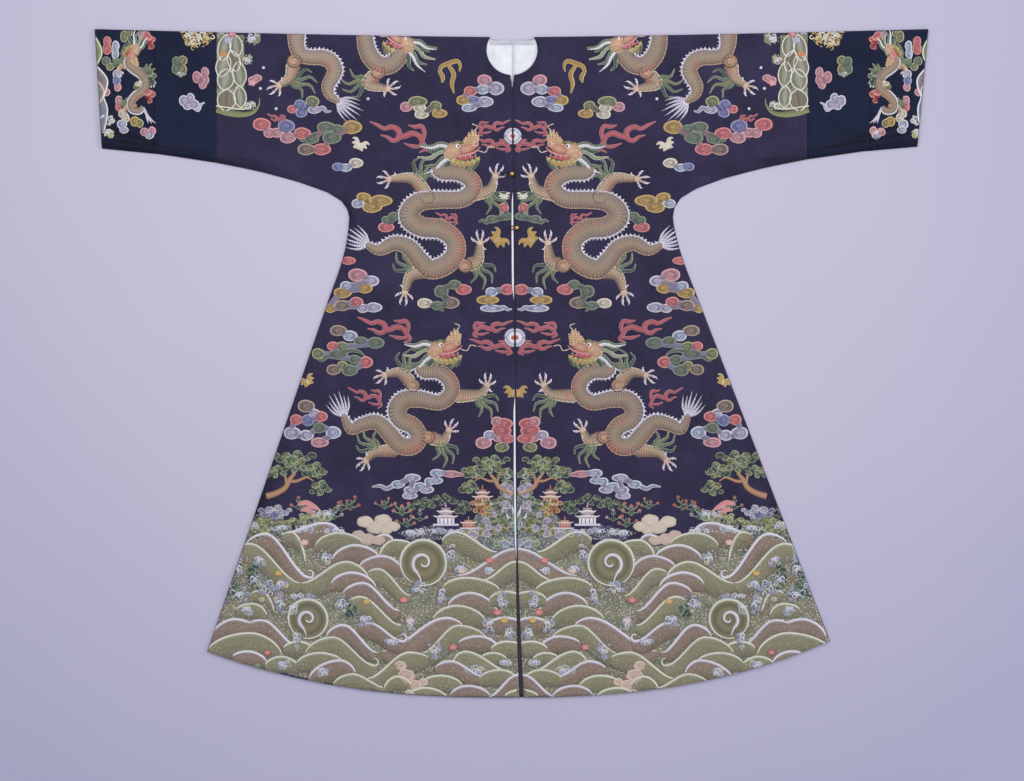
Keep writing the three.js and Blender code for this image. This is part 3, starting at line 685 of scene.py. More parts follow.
def embroider(name, work):
    """One mesh for a frame of work, on both halves. Quads that an edge has squeezed to nothing are dropped,
    and the rest are turned to face up."""
    places, quads, first = [], [], 0
    flat = [np.concatenate([grid[k].ravel() for grid in work.grids]) for k in range(5)]
    d, y, high, u, v = flat
    tone = np.concatenate([grid[5].reshape(-1, 3) for grid in work.grids])
    knots = np.concatenate([grid[6].ravel() for grid in work.grids])
    for grid in work.grids:
        quads.append(grid_quads(*grid[0].shape, first))
        first += grid[0].size
    drawn = np.concatenate(quads)
    quads = []
    for half, side in enumerate((LEFT, RIGHT)):
        x = opening(y, 1) + side * d
        x, on_y, moved = keep_on_cloth(side, x, y)
        z = top_z(side, x, on_y) + np.where(moved, np.minimum(high, EDGE_HIGH), high)
        a, b, c, e = (np.stack([x, on_y], 1)[drawn[:, k]] for k in range(4))
        cross = (c - a)[:, 0] * (e - b)[:, 1] - (c - a)[:, 1] * (e - b)[:, 0]
        kept = np.abs(cross) > LEAST_QUAD
        turned = np.where(cross[kept, None] < 0, drawn[kept][:, ::-1], drawn[kept])
        quads.append(turned + half * len(x))
        places.append(np.stack([x, on_y, z], 1))
    quads = np.concatenate(quads)
    places = np.concatenate(places)
    used, packed = np.unique(quads, return_inverse=True)
    piece = new_piece(name, places[used], packed.reshape(-1, 4))
    both = used % len(tone)
    colour = piece.data.color_attributes.new("floss", "FLOAT_COLOR", "POINT")
    stored = np.concatenate([tone[both], knots[both][:, None]], 1)
    colour.data.foreach_set("color", stored.astype(np.float32).ravel())
    layer = piece.data.uv_layers.new(name="thread")
    corner = np.zeros(len(piece.data.loops), np.int32)
    piece.data.loops.foreach_get("vertex_index", corner)
    uv = np.stack([u, v], 1)[both][corner] / THREAD_UNIT
    layer.data.foreach_set("uv", uv.astype(np.float32).ravel())
    print(name, len(work.grids), "patches a half,", len(piece.data.polygons), "faces")
    return piece

# %% [markdown]
# ## Buttons and loops
# Round gilt buttons hang on shanks, and thin twisted cords loop round them. A lathe profile turned into a
# surface gives the ball; a few shallow petals, a cosine of the turning angle, stand for its chasing. The
# cord is a tube round a smooth path whose section is three lobes that twist along it.

# %% Buttons
BUTTONS = {"upper": (1.0, 401.0), "lower": (11.0, 286.5)}
BUTTON_RADIUS, SHANK_RADIUS, SHANK = 5.0, 1.5, 3.0


def button(x, y, around=64, along=40):
    """Surface of revolution: a flared shank, then a ball. The ball's radius swells by 3% in twelve petals
    that fade towards the poles."""
    start = math.asin(SHANK_RADIUS / BUTTON_RADIUS)
    angle = np.linspace(start, math.pi, along)
    centre = SHANK + BUTTON_RADIUS * math.cos(start)
    radius = np.concatenate([[0.01, SHANK_RADIUS + 0.6, SHANK_RADIUS], BUTTON_RADIUS * np.sin(angle)])
    height = np.concatenate([[0, 0, 0.6], centre - BUTTON_RADIUS * np.cos(angle)])
    radius[-1] = 0.01
    turn = np.linspace(0, 2 * math.pi, around, endpoint=False)[None]
    petals = np.concatenate([[0, 0, 0], np.sin(angle) ** 2])[:, None] * 0.03 * np.abs(np.cos(6 * turn))
    r = radius[:, None] * (0.985 + petals)
    places = np.stack([x + r * np.cos(turn), y + r * np.sin(turn),
                       STACK + GAP + height[:, None] + 0 * turn], -1)
    return places.reshape(-1, 3), round_quads(places.shape[:2])


# %% Loops
def cord_tube(path, radius, z, around=18):
    """Tube along a level path. Its section is a circle with three lobes that twist on by one every 5 mm."""
    ahead = np.gradient(path, axis=0)
    ahead /= np.linalg.norm(ahead, axis=1, keepdims=True)
    turn = np.linspace(0, 2 * math.pi, around, endpoint=False)[None]
    r = radius * (0.88 + 0.12 * np.cos(3 * turn - 2 * math.pi * lengths(path)[:, None] / 5))
    r[[0, -1]] = 0.05
    across = np.stack([ahead[:, 1], -ahead[:, 0]], 1)
    x = path[:, :1] + across[:, :1] * r * np.cos(turn)
    y = path[:, 1:] + across[:, 1:] * r * np.cos(turn)
    places = np.stack([x, y, z + r * np.sin(turn)], -1)
    return places.reshape(-1, 3), round_quads(x.shape)


def loop_path(x, y):
    """From the left front round the shank and back: two straight runs and a half circle."""
    bend = SHANK_RADIUS + 0.6 + 0.5 + 1.0
    turn = np.radians(np.linspace(90, -90, 9))
    arc = np.stack([bend * np.cos(turn), bend * np.sin(turn)], 1)
    run = np.array([(-26.0, bend), (-13.0, bend)])
    return smooth_path(np.concatenate([run, arc, run[::-1] * (1, -1)]) + (x, y), 0.35)


for name, (x, y) in BUTTONS.items():
    cloth["button_" + name] = new_piece("gilt_button_" + name, *button(x, y))
    cloth["loop_" + name] = new_piece("cord_loop_" + name, *cord_tube(loop_path(x, y), 1.0, STACK + GAP + 1))
    for node in ("button_" + name, "loop_" + name):
        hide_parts(node)
print("fastenings:", [n for n in cloth if "button" in n or "loop" in n])

# %% [markdown]
# ## Dragons
# Each front shows two writhing dragons in couched gold thread: a body of rows of scales, a white comb down
# the back, four legs with spread claws, green hair at the joints, a head with horns and open jaws, and a
# tuft on the tail. A dragon is drawn as a wide band along a winding spine, and everything else is set
# against that line, so the spine and the legs are all that a new dragon needs.


# %% Wisps, combs and legs
def wisp(work, path, half, fill, edge, base=0.3, rim=1.2, step=4.0):
    """Tapered lock of hair or flame: a wider pale band below and a narrower coloured one on it."""
    half = np.asarray(half, float)
    work.band(path, half + rim, [edge], base, 0.1, step)
    work.band(path, half, fill if isinstance(fill, list) else [fill], base + 0.16, 0.2, step)


def comb(work, line, side, pitch, tall, colour):
    """Saw-tooth edge: every third point of the line is moved out by the tooth's height."""
    run = lengths(line)
    count = max(int(run[-1] / pitch) * 3, 6)
    at = np.linspace(0, run[-1], count)
    root = np.stack([np.interp(at, run, line[:, k]) for k in (0, 1)], 1)
    out = normals(root) * side
    tooth = np.where(np.arange(count) % 3 == 1, tall, 0.6)[:, None]
    lean = np.gradient(root, axis=0) * 0.35 * (tooth > 1)
    tip = root + out * tooth + lean
    rows = [root - out * 0.8, mix(root, tip, 0.45), tip]
    d, y = (np.stack([row[:, k] for row in rows], 1) for k in (0, 1))
    high = np.broadcast_to([0.6, 0.45, SUNK], d.shape)
    work.lay(d, y, high, shade([colour], d), at[:, None], np.zeros((1, 3)))


def paw(work, wrist, toward, size=1.0):
    """Paw at the end of a leg: a pad and four long toes with pale hooked claws, and one behind."""
    angle = math.atan2(toward[1] - wrist[1], toward[0] - wrist[0])
    work.lobe(wrist, (7 * size, 6 * size), [GOLD_PALE, (196, 168, 158)], 0.55, 0.3)
    for spread, reach in ((-1.3, 0.9), (-0.45, 1.15), (0.45, 1.15), (1.3, 0.9), (2.8, 0.7)):
        bend = 0.5 if spread < 0 else -0.5
        toe = place([(2, 0), (10 * reach, 1.5 * bend), (16 * reach, 4 * bend)], wrist, size, angle + spread)
        claw = place([(14 * reach, 3.5 * bend), (21 * reach, 8 * bend), (24 * reach, 17 * bend)], wrist,
                     size, angle + spread)
        work.band(toe, (3.0, 2.4, 2.2), [(196, 168, 158), (208, 190, 190)], 0.5, 0.3, 3)
        work.band(claw, (2.8, 2.3, 0.4), [WHITE, (206, 196, 220)], 0.6, 0.3, 3)


def leg(work, points, size=1.0, hair=GREEN):
    """Leg: a tapering gold band from hip to wrist with pale edges, hair from the elbow, and the paw."""
    points = np.asarray(points, float)
    line = smooth_path(points[:3], 4)
    across = normals(line)
    wide = np.interp(np.linspace(0, 1, len(line)), (0, 0.14, 0.45, 0.75, 1), (5, 15, 12.5, 9, 5.5))
    wide = wide[:, None] * size
    elbow, away = points[1], points[1] - (points[0] + points[2]) / 2
    away = away / np.linalg.norm(away) + 0.5 * (points[1] - points[2]) / np.linalg.norm(points[1] - points[2])
    turn = math.atan2(away[1], away[0])
    for k, (bend, reach) in enumerate(((-0.8, 46), (-0.3, 58), (0.2, 62), (0.75, 48))):
        lock = [(0, 0), (reach * 0.35, 8 * bend + 4), (reach * 0.7, 12 * bend - 5), (reach, 16 * bend + 5)]
        green = (GREEN_DARK, hair, OLIVE, hair)[k]
        wisp(work, place(lock, elbow, size, turn + bend * 0.5), (3.4, 3.2, 2.2, 0.3), green, GREEN_PALE,
             0.3 + 0.02 * k, 1.0)
    work.band(points[:3], wide[:, 0], [GOLD_DARK, GOLD, GOLD_PALE, GOLD], 0.48, 0.4, 4, across=7)
    fleck(work, ((0.1, 0.25),))
    for s in (-1, 1):
        work.cord(line + s * across * wide, 1.0, CREAM if s > 0 else GOLD_DARK, 0.5, 0.3)
    paw(work, points[2], points[3], size)


# %% The head, drawn facing along its first axis
def dragon_head(work, at, size=1.0, turn=0.0, flip=-1):
    """Mane and horns first, then jaw, tongue, skull, muzzle, eye and whiskers, each a little higher."""
    def put(points):
        return place(points, at, size, turn, flip)

    def strip(points, half, colours, base, rise=0.2, step=4.0):
        work.band(put(points), np.array(half) * size, colours, base, rise, step)

    def lock(points, half, fill, edge, base, rim=1.2, step=4.0):
        wisp(work, put(points), np.array(half) * size, fill, edge, base, rim, step)

    def patch(spot, wide, deep, colours, base, rise=0.25, **shape):
        work.lobe(put([spot])[0], (wide * size, deep * size), colours, base, rise, **shape)

    mane = [([(-8, 14), (-30, 24), (-54, 20), (-80, 30)], GREEN),
            ([(-10, 6), (-36, 6), (-58, -6), (-88, 0)], GREEN_PALE),
            ([(-10, -6), (-30, -12), (-50, -26), (-74, -22)], GREEN),
            ([(-6, -14), (-24, -30), (-32, -46), (-50, -52)], GREEN_DARK),
            ([(-8, 10), (-26, 14), (-46, 8), (-66, 12)], GREEN_DARK)]
    for path, green in mane:
        lock(path, [5.5, 5, 3.4, 0.4], green, GREEN_PALE if green != GREEN_PALE else CREAM, 0.7)
    for horn in ([(-12, 14), (-32, 20), (-54, 17), (-80, 25)],
                 [(-12, -10), (-32, -20), (-50, -34), (-78, -42)]):
        strip(horn, [5, 4.6, 3.4, 0.8], [(198, 194, 206), WHITE, WHITE], 0.95, 0.5)
    strip([(-16, -6), (2, -22), (24, -30), (44, -28), (58, -16)], [9, 10, 8, 5.5, 1],
          [(150, 112, 84), OCHRE, (214, 176, 140)], 0.9, 0.3)
    for e in (-8, 4, 16, 28, 40, 52):
        low = -24 - 7 * math.sin((e + 12) / 22)
        patch((e, low + 4), 6, 5.5, [(176, 148, 104), OLIVE, OLIVE_PALE], 1.1, 0.3, spokes=12, rings=1)
        lock([(e, low), (e - 5, low - 10), (e - 13, low - 19)], [3.4, 2.6, 0.4],
             GREEN_DARK if e % 8 else OLIVE, GREEN_PALE, 0.8, 0.9, 3)
    strip([(0, -10), (20, -16), (40, -15), (54, -20)], [4, 5.5, 4.5, 0.5], [(150, 60, 66), CORAL], 1.0)
    patch((0, 4), 28, 22, [(212, 178, 146), (198, 158, 126), (160, 126, 104)], 0.95, 0.5, turn=turn,
          petals=11, dent=0.1, spokes=44)
    patch((-9, -5), 15, 12, [(206, 164, 134), (184, 142, 114)], 1.25, 0.3, turn=turn)
    work.cord(put(ring((-9, -5), (15, 12), 20, 330)), 1.1 * size, CREAM, 1.2)
    for e, f in ((30, 34), (38, 44), (46, 50), (54, 46), (60, 36)):
        lock([(e * 0.8, 12), (e * 0.96, 26), (e + 2, f)], [5, 4.6, 0.5], (204, 166, 128), (216, 190, 160),
             1.0, 0.8, 3)
    patch((30, 5), 24, 11, [(214, 172, 144), (204, 150, 128), (176, 112, 100)], 1.2, 0.45,
          turn=flip * 0.2 + turn)
    patch((50, 14), 10, 9, [(222, 188, 160), (200, 150, 126)], 1.4, 0.4)
    patch((53, 14), 2.2, 2.0, [INK], 1.85, 0.1)
    strip([(0, -6), (16, -9), (34, -8), (50, -3), (62, 6)], [1.6, 3, 3.4, 3, 0.8], [CORAL, ROSE], 1.4, 0.3)
    for e in (12, 24, 36, 48):
        strip([(e, -10), (e + 1, -16)], [2.0, 0.3], [WHITE], 1.3, 0.2, 3)
    patch((10, 14), 6.6, 5.4, [WHITE, WHITE, (206, 150, 150)], 1.5, 0.5)
    patch((11.5, 14), 2.8, 2.8, [INK], 1.95, 0.2)
    strip([(-4, 20), (8, 25), (20, 22), (28, 16)], [1.2, 3.2, 2.8, 0.8], [GREEN_DARK, OLIVE_PALE], 1.6, 0.3)
    work.cord(put([(46, 16), (58, 28), (50, 41), (62, 54), (50, 62)]), 1.1 * size, CREAM, 0.8)
    work.cord(put([(56, -2), (72, -8), (82, 4), (96, 0)]), 1.1 * size, CREAM, 0.8)


# %% The whole dragon
def fleck(work, places, flip=1, colour=(206, 112, 104)):
    """Flecks of coral thread in the last patch laid. They are thick at the given shares of its length, on
    the right of its direction (the left where flip is -1), and a few lie everywhere."""
    width, tone = work.grids[-1][4] * flip, work.grids[-1][5]
    share = np.linspace(0, 1, len(width))[:, None]
    near = sum(np.exp(-(((share - at) / reach) ** 2)) for at, reach in places)
    side = smooth(0.5 - width / (np.abs(width).max() * 1.2))
    chosen = chance.random(width.shape) < 0.02 + 0.5 * near * side
    tone[chosen] = mix(tone[chosen], linear(colour), 0.5)


SCALE_COLOURS = [(122, 102, 96), (146, 126, 110), (160, 142, 122), (148, 131, 118), (130, 116, 116)]


def dragon(work, spine, half, legs, tuft=True, size=1.0, flip=1):
    """Body band along the spine, with a coral flush on the belly where it turns, a pale comb on the left of
    its direction (the right where flip is -1), legs and tail tuft."""
    line = smooth_path(spine, 3)
    share = np.linspace(0, 1, len(line))
    wide = np.interp(share, np.linspace(0, 1, len(half)), half)[:, None]
    wide = wide * np.sqrt(np.clip(lengths(line)[:, None] / (24 * size), 0.03, 1))
    across = normals(line) * flip
    for points in legs[1::2]:
        leg(work, points, size)
    work.band(line, wide[:, 0], SCALE_COLOURS[::flip], 0.62, 1.1, 3, across=11)
    fleck(work, ((0.16, 0.03), (0.64, 0.09)), flip)
    work.cord(line + across * wide, 1.5 * size, (222, 218, 228), 0.8, 0.5)
    work.cord(line - across * wide, 1.1 * size, (186, 158, 134), 0.6, 0.3)
    comb(work, line + across * (wide + 1.0), flip, 8.5 * size, 5.4 * size, (216, 214, 226))
    for points in legs[0::2]:
        leg(work, points, size)
        work.lobe(points[0], (15 * size, 14 * size), [(198, 166, 136), (188, 146, 122), (164, 134, 114)],
                  0.9, 0.15, spokes=24)
        for share, start in ((1.0, 100), (0.55, 40)):
            coil = ring(points[0], (15 * share * size, 14 * share * size), start, start + 260, count=16)
            work.cord(coil, 0.9 * size, (124, 88, 76), 1.75 if share == 1 else 1.1, 0.3)
    if tuft:
        end, back = line[-1], line[-1] - line[-6]
        turn = math.atan2(back[1], back[0])
        for k, spread in enumerate(np.linspace(-1.2, 1.2, 7)):
            reach = 58 - 12 * abs(spread) - 6 * (k % 2)
            lock = [(-14, 2 * spread), (reach * 0.4, 6 * spread), (reach, -2 * spread)]
            work.band(place(lock, end, size, turn + spread * 0.6), np.array([1.2, 3.0, 0.3]) * size,
                      [LILAC, WHITE], 0.6, 0.4)


dragons = Work()
UPPER_SPINE = [(172, 414), (156, 404), (117, 403), (90, 388), (86, 367), (110, 348), (155, 346), (195, 343),
               (218, 326), (220, 305), (195, 288), (155, 283), (127, 261), (125, 231), (146, 208),
               (178, 199), (201, 220), (223, 246), (254, 254), (286, 240), (314, 252)]
UPPER_LEGS = [[(183, 352), (212, 390), (262, 390), (284, 388)], [(100, 356), (52, 366), (38, 396), (30, 412)],
              [(104, 206), (78, 218), (72, 254), (72, 276)], [(178, 197), (218, 186), (232, 150), (236, 128)]]
LOWER_SPINE = [(212, -8), (196, -18), (162, -19), (139, -38), (137, -64), (162, -83), (203, -76),
               (236, -78), (252, -100), (243, -121), (218, -134), (206, -157), (221, -176), (248, -172),
               (269, -148), (294, -125), (324, -129), (350, -138), (366, -108)]
LOWER_LEGS = [[(217, -47), (244, -21), (276, -25), (295, -36)],
              [(136, -70), (78, -66), (60, -47), (58, -25)],
              [(186, -157), (155, -163), (142, -142), (131, -127)],
              [(246, -184), (297, -189), (318, -206), (335, -225)]]
BODY_HALF = (15, 17, 18, 18, 18, 20, 22, 21, 20, 20.5, 21, 19, 17, 14, 6)
dragon(dragons, UPPER_SPINE, BODY_HALF, UPPER_LEGS)
dragon_head(dragons, (124, 446), 0.9, -0.12)
dragon(dragons, LOWER_SPINE, np.array(BODY_HALF) * 0.9, LOWER_LEGS, size=0.94)
dragon_head(dragons, (164, 26), 0.86, -0.12)
SHOULDER_BODY = [(314, 740), (312, 700), (309, 671), (299, 648), (280, 631), (257, 633), (241, 648),
                 (232, 664)]
SHOULDER_TAIL = [(456, 740), (457, 700), (456, 672), (446, 653), (424, 648), (404, 648), (385, 640),
                 (375, 622), (381, 604), (390, 587), (386, 568), (366, 553)]
dragon(dragons, SHOULDER_BODY, (17, 17, 19, 19, 17), [[(284, 616), (304, 592), (264, 581), (248, 588)]],
       False, flip=-1)
dragon(dragons, SHOULDER_TAIL, (19, 19, 16, 15.5, 17, 16, 13, 5),
       [[(462, 640), (470, 606), (494, 588), (508, 580)]], flip=-1)
dragon_head(dragons, (226, 674), 0.8, 0.45, 1)

# %% [markdown]
# ## Clouds, pearls and flames
# The ground is filled with small clouds of curled heads, each head shaded from a dark middle to a pale rim
# and edged with a cord that winds inwards, as on old court silks. Red flames trail from the dragons and
# round the pearl between each pair.


# %% Curled clouds
EDGE_OF = {CORAL: (222, 160, 158), PINK: ROSE, GREEN: GREEN_PALE, BLUE: BLUE_PALE, OCHRE: (214, 188, 126),
           LILAC: WHITE, BLUE_PALE: WHITE, CREAM: (228, 218, 206), BROWN: (204, 180, 164),
           OLIVE: (196, 196, 150), RED: ROSE}


def curl(work, at, radii, colour, flip=1, base=0.35):
    """Inside of one cloud head: a dull trefoil, darker between middle and rim, and a cord winding in."""
    rx, ry = radii
    tone, pale, ground = (np.array(c, float) for c in (colour, EDGE_OF[colour], GROUND))
    fill = [mix(tone, pale, 0.1), mix(tone, ground, 0.6), mix(tone, ground, 0.35), mix(tone, ground, 0.1)]
    work.lobe(at, radii, fill, base, 0.2, rings=2, spokes=18, petals=3, dent=0.1)
    wind = ring((0, 0), (rx * 0.66, ry * 0.62), -120, 300, count=16, shrink=0.18) * (flip, 1) + at
    work.cord(wind, 0.8, mix(tone, pale, 0.3), base + 0.14, 0.2, step=3)


def cloud(work, heads, tails=(), base=0.35):
    """Heads that run together: tapering tails, then pale lobes and a ribbon through the middles that leave a
    pale edge round the whole cloud, then the inside of each head."""
    path = np.array([head[:2] for head in heads], float)
    for colour, *points in tails:
        wisp(work, points, (4.2, 3.6, 2.4, 0.4), [mix(np.array(colour), np.array(GROUND), 0.3)],
             EDGE_OF[colour], base - 0.05, 1.2)
    if len(heads) > 2:
        pale = np.mean([EDGE_OF[head[4]] for head in heads], 0)
        work.band(path, 6.4, [mix(pale, np.array(GROUND), 0.3)], base - 0.04, 0.06)
    for d, y, rx, ry, colour in heads:
        edge = mix(np.array(EDGE_OF[colour]), np.array(colour), 0.35)
        work.lobe((d, y), (rx + 2.4, ry + 2.2), [edge], base, 0.04, spokes=18, petals=3, dent=0.07, rings=1)
    if len(heads) > 2:
        work.band(path, 4.4, [mix(np.array(heads[1][4]), np.array(GROUND), 0.45)], base + 0.16, 0.1)
    for k, (d, y, rx, ry, colour) in enumerate(heads):
        curl(work, (d, y), (rx, ry), colour, 1 if k % 2 else -1, base + 0.24)


clouds = Work()
CLOUDS = [  # heads: distance out, height, half width, half depth, colour
    [(59, 600, 14, 10, PINK), (34, 582, 15, 13, LILAC), (62, 580, 12, 9, BLUE_PALE),
     (89, 576, 13, 9, CORAL), (104, 557, 14, 9, OCHRE), (82, 558, 12, 7, BLUE), (58, 554, 16, 10, LILAC),
     (92, 541, 15, 7, BLUE_PALE)],
    [(225, 543, 12, 9, PINK), (201, 554, 19, 10, OLIVE), (197, 541, 12, 8, CREAM), (193, 527, 14, 8, CREAM),
     (163, 546, 11, 8, OLIVE), (155, 529, 15, 8, OCHRE)],
    [(467, 538, 9, 7, CORAL), (450, 548, 11, 9, BLUE), (448, 530, 11, 8, BLUE), (424, 554, 13, 11, OLIVE),
     (420, 537, 13, 7, LILAC)],
    [(532, 506, 18, 12, CORAL), (515, 488, 12, 9, PINK), (500, 488, 10, 9, PINK), (480, 502, 17, 13, BLUE),
     (477, 478, 16, 11, PINK), (446, 487, 17, 11, CORAL), (426, 474, 14, 8, GREEN),
     (395, 500, 19, 10, GREEN), (371, 495, 12, 9, GREEN), (340, 500, 19, 13, OCHRE),
     (384, 478, 19, 12, GREEN), (405, 453, 18, 11, CORAL), (438, 453, 18, 11, BROWN)],
    [(333, 424, 14, 9, CREAM), (354, 414, 11, 7, BLUE_PALE), (370, 416, 13, 7, BLUE)],
    [(281, 344, 23, 11, OCHRE), (300, 331, 20, 11, OCHRE), (318, 352, 14, 8, OCHRE),
     (330, 338, 12, 8, BLUE_PALE)],
    [(271, 288, 16, 9, CORAL), (252, 311, 14, 8, GREEN), (270, 303, 9, 7, GREEN)],
    [(332, 187, 19, 12, PINK), (301, 174, 13, 10, LILAC), (356, 163, 12, 9, BLUE_PALE),
     (316, 159, 14, 10, OCHRE), (364, 149, 18, 10, OCHRE), (390, 116, 10, 8, OCHRE),
     (335, 129, 13, 10, CORAL), (364, 122, 16, 10, BROWN), (298, 118, 16, 9, LILAC),
     (321, 116, 11, 8, LILAC)],
    [(108, 156, 16, 10, CORAL), (126, 166, 12, 9, GREEN), (155, 152, 14, 12, GREEN),
     (134, 128, 16, 11, BROWN), (163, 122, 12, 8, GREEN), (190, 127, 15, 9, CREAM)],
    [(14, 156, 15, 10, CORAL), (48, 151, 12, 8, BLUE_PALE), (57, 134, 23, 8, OCHRE),
     (47, 116, 26, 6, BLUE_PALE)],
    [(374, 69, 17, 10, BROWN), (349, 58, 14, 10, BLUE_PALE), (327, 47, 14, 8, GREEN),
     (295, 43, 17, 11, GREEN), (366, 35, 12, 9, OLIVE), (385, 36, 12, 8, CORAL), (376, 19, 21, 8, GREEN),
     (417, 20, 12, 10, OLIVE), (340, 8, 12, 8, GREEN), (316, 2, 13, 11, CORAL), (351, -15, 16, 11, GREEN),
     (366, -5, 10, 8, OLIVE), (385, -14, 14, 10, BROWN)],
    [(444, -91, 17, 12, BROWN), (426, -107, 10, 9, LILAC), (413, -113, 13, 10, CORAL),
     (440, -121, 12, 11, BLUE), (465, -120, 12, 10, CORAL), (474, -148, 17, 12, LILAC),
     (444, -153, 14, 10, LILAC), (416, -137, 13, 10, GREEN), (387, -147, 15, 12, BLUE_PALE),
     (416, -168, 18, 9, PINK)],
    [(69, -169, 16, 11, PINK), (55, -153, 13, 9, LILAC), (39, -158, 9, 7, PINK), (31, -143, 20, 13, CORAL),
     (39, -124, 12, 9, PINK), (24, -128, 16, 10, CORAL), (20, -160, 16, 9, CORAL),
     (30, -178, 14, 9, OLIVE)],
    [(251, -257, 13, 7, BLUE_PALE), (220, -243, 16, 7, LILAC), (224, -269, 14, 7, LILAC),
     (226, -281, 15, 6, LILAC), (204, -261, 13, 7, BLUE_PALE), (190, -268, 14, 7, LILAC),
     (184, -251, 10, 7, BLUE_PALE), (169, -249, 12, 6, BLUE_PALE), (167, -233, 15, 7, BLUE_PALE),
     (137, -235, 17, 6, PINK)],
    [(21, 329, 9, 9, CORAL), (16, 311, 12, 7, GREEN), (45, 305, 13, 7, GREEN)], [(351, 217, 14, 7, CORAL)],
    [(549, 599, 10, 7, PINK), (540, 604, 8, 6, PINK)]]
TAILS = {2: [(LILAC, (412, 536), (402, 541), (394, 533), (384, 534))],
         3: [(GREEN, (410, 487), (430, 480), (444, 470), (452, 474))],
         8: [(GREEN, (150, 140), (146, 130), (158, 116), (150, 110))],
         9: [(BLUE_PALE, (34, 116), (22, 118), (14, 113), (6, 115))],
         10: [(GREEN, (375, 20), (350, 27), (330, 24), (318, 14)),
              (GREEN, (390, 18), (402, 12), (410, 6), (420, 10))],
         13: [(BLUE_PALE, (262, -260), (276, -266), (288, -260), (306, -262)),
              (PINK, (125, -236), (118, -236), (112, -237), (108, -238))],
         14: [(GREEN, (50, 304), (58, 298), (66, 303), (74, 299))]}
for k, heads in enumerate(CLOUDS):
    cloud(clouds, heads, TAILS.get(k, ()))


# %% Flames, pearls and small creatures
FLAME_TONGUES = [([(0.5, 0.5), (0.38, 0.4), (0.25, 0.27), (0.13, 0.33), (0.01, 0.21), (0.01, -0.03),
                   (0.11, -0.12), (0.2, 0), (0.32, 0.06)], (0.5, 3, 3.6, 5, 6, 6, 4.5, 3, 0.5)),
                 ([(0.02, -0.03), (-0.11, 0.04), (-0.22, 0.12), (-0.34, 0.04), (-0.4, -0.18),
                   (-0.46, -0.36), (-0.34, -0.5)], (4, 6, 6, 5, 4.5, 3, 0.5)),
                 ([(-0.16, 0.38), (-0.28, 0.33), (-0.38, 0.35), (-0.43, 0.16), (-0.41, -0.14)],
                  (0.5, 4, 4.5, 4, 2)), ([(-0.08, -0.2), (-0.24, -0.3), (-0.4, -0.3)], (0.5, 3.6, 2.4))]


def flame(work, at, span, flip=1, base=0.35):
    """Red flame of four tongues about one root."""
    size = span[0] / 120
    for path, half in FLAME_TONGUES:
        line = np.array(path) * (flip * span[0], span[1]) + at
        wisp(work, line, np.array(half) * max(0.86 * size, 0.38),
             [(132, 64, 82), (186, 98, 106), (150, 72, 88)], (200, 136, 146), base, 0.9)


def pearl(work, at, radius):
    """Flaming pearl: rings of blue, white and coral, each a little higher."""
    rings = ((1.0, [(84, 84, 112)], 0.6), (0.84, [BLUE_PALE, LILAC], 0.7), (0.58, [WHITE], 0.85),
             (0.26, [RED, CORAL], 1.05))
    for share, colours, base in rings:
        work.lobe(at, (radius * share, radius * share), colours, base, 0.3, spokes=28)
    work.cord(ring(at, (radius * 0.84, radius * 0.84), 0, 360, count=30), 0.9, WHITE, 1.0)


def bat(work, at, size, colours, turn=0.0):
    """Small bat: a body lobe and two scalloped wings."""
    for s in (-1, 1):
        for x, y in ((16, 9), (14, 1), (9, -6)):
            wisp(work, place([(2, 0), (x * 0.6, y * 0.9 + 2), (x, y)], at, size, turn, s),
                 np.array([3.6, 3.2, 0.4]) * size, colours[0], colours[1], 0.35, 0.8, 3)
    work.lobe(at, (4.6 * size, 6.6 * size), [colours[1], colours[0]], 0.6, 0.3, turn)


FLAMES = [  # distance out, height, width, depth, direction
    (241, 479, 124, 66, 1), (275, 70, 116, 54, 1), (318, -74, 74, 44, 1), (142, 306, 48, 26, 1),
    (40, 498, 70, 34, -1), (42, 462, 78, 30, 1), (48, 72, 88, 36, -1), (50, 34, 92, 34, 1),
    (500, 516, 40, 24, 1)]
for d, y, wide, deep, flip in FLAMES:
    flame(clouds, (d, y), (wide, deep), flip)
pearl(clouds, (1, 481), 19)
pearl(clouds, (3, 54), 21)
for d, y, size, colours, turn in ((36, 261, 1.5, (OCHRE, GOLD_PALE), 0.9),
        (5, -64, 1.3, (OCHRE, GOLD_PALE), 0.0), (440, -40, 1.1, (OCHRE, CREAM), -0.5),
        (326, 460, 1.2, (CREAM, WHITE), 0.4), (20, 352, 0.8, (CREAM, WHITE), 0.0)):
    bat(clouds, (d, y), size, colours, turn)
for path in ([(154, 616), (150, 628), (137, 634), (117, 640), (110, 630), (112, 618)],
             [(134, 630), (124, 612), (128, 592), (124, 572)],
             [(154, 618), (147, 606), (149, 594)]):
    wisp(clouds, path, (2.4, 4, 3.4, 0.5), [OCHRE_DARK, OCHRE], (206, 186, 130), 0.35)
for d, y in ((527, 626), (534, 582), (501, 539), (306, 560)):
    clouds.lobe((d, y), (3.2, 3.2), [WHITE], 0.4, 0.4, spokes=10, rings=1)

# %% [markdown]
# ## Waves at the hem
# The hem carries rolling waves: olive and brown bodies with a thick pale cord along the crest, which overlap
# like roof tiles. Two great spirals, foam and little flowers lie between them. A wave is drawn from three
# places only, its two feet and its crest, and the table sets them from the back of the border to the front.

# %% Rolling waves
FILLS = [([(166, 162, 136), (120, 118, 92), (148, 142, 114), (104, 104, 82), (138, 130, 110), (98, 96, 82)],
          [(222, 224, 212), (198, 200, 184)], 2.7),
         ([(166, 144, 138), (122, 102, 96), (152, 130, 118), (108, 92, 84), (136, 118, 100), (100, 92, 78)],
          [(232, 230, 238), (196, 188, 208)], 3.1)]
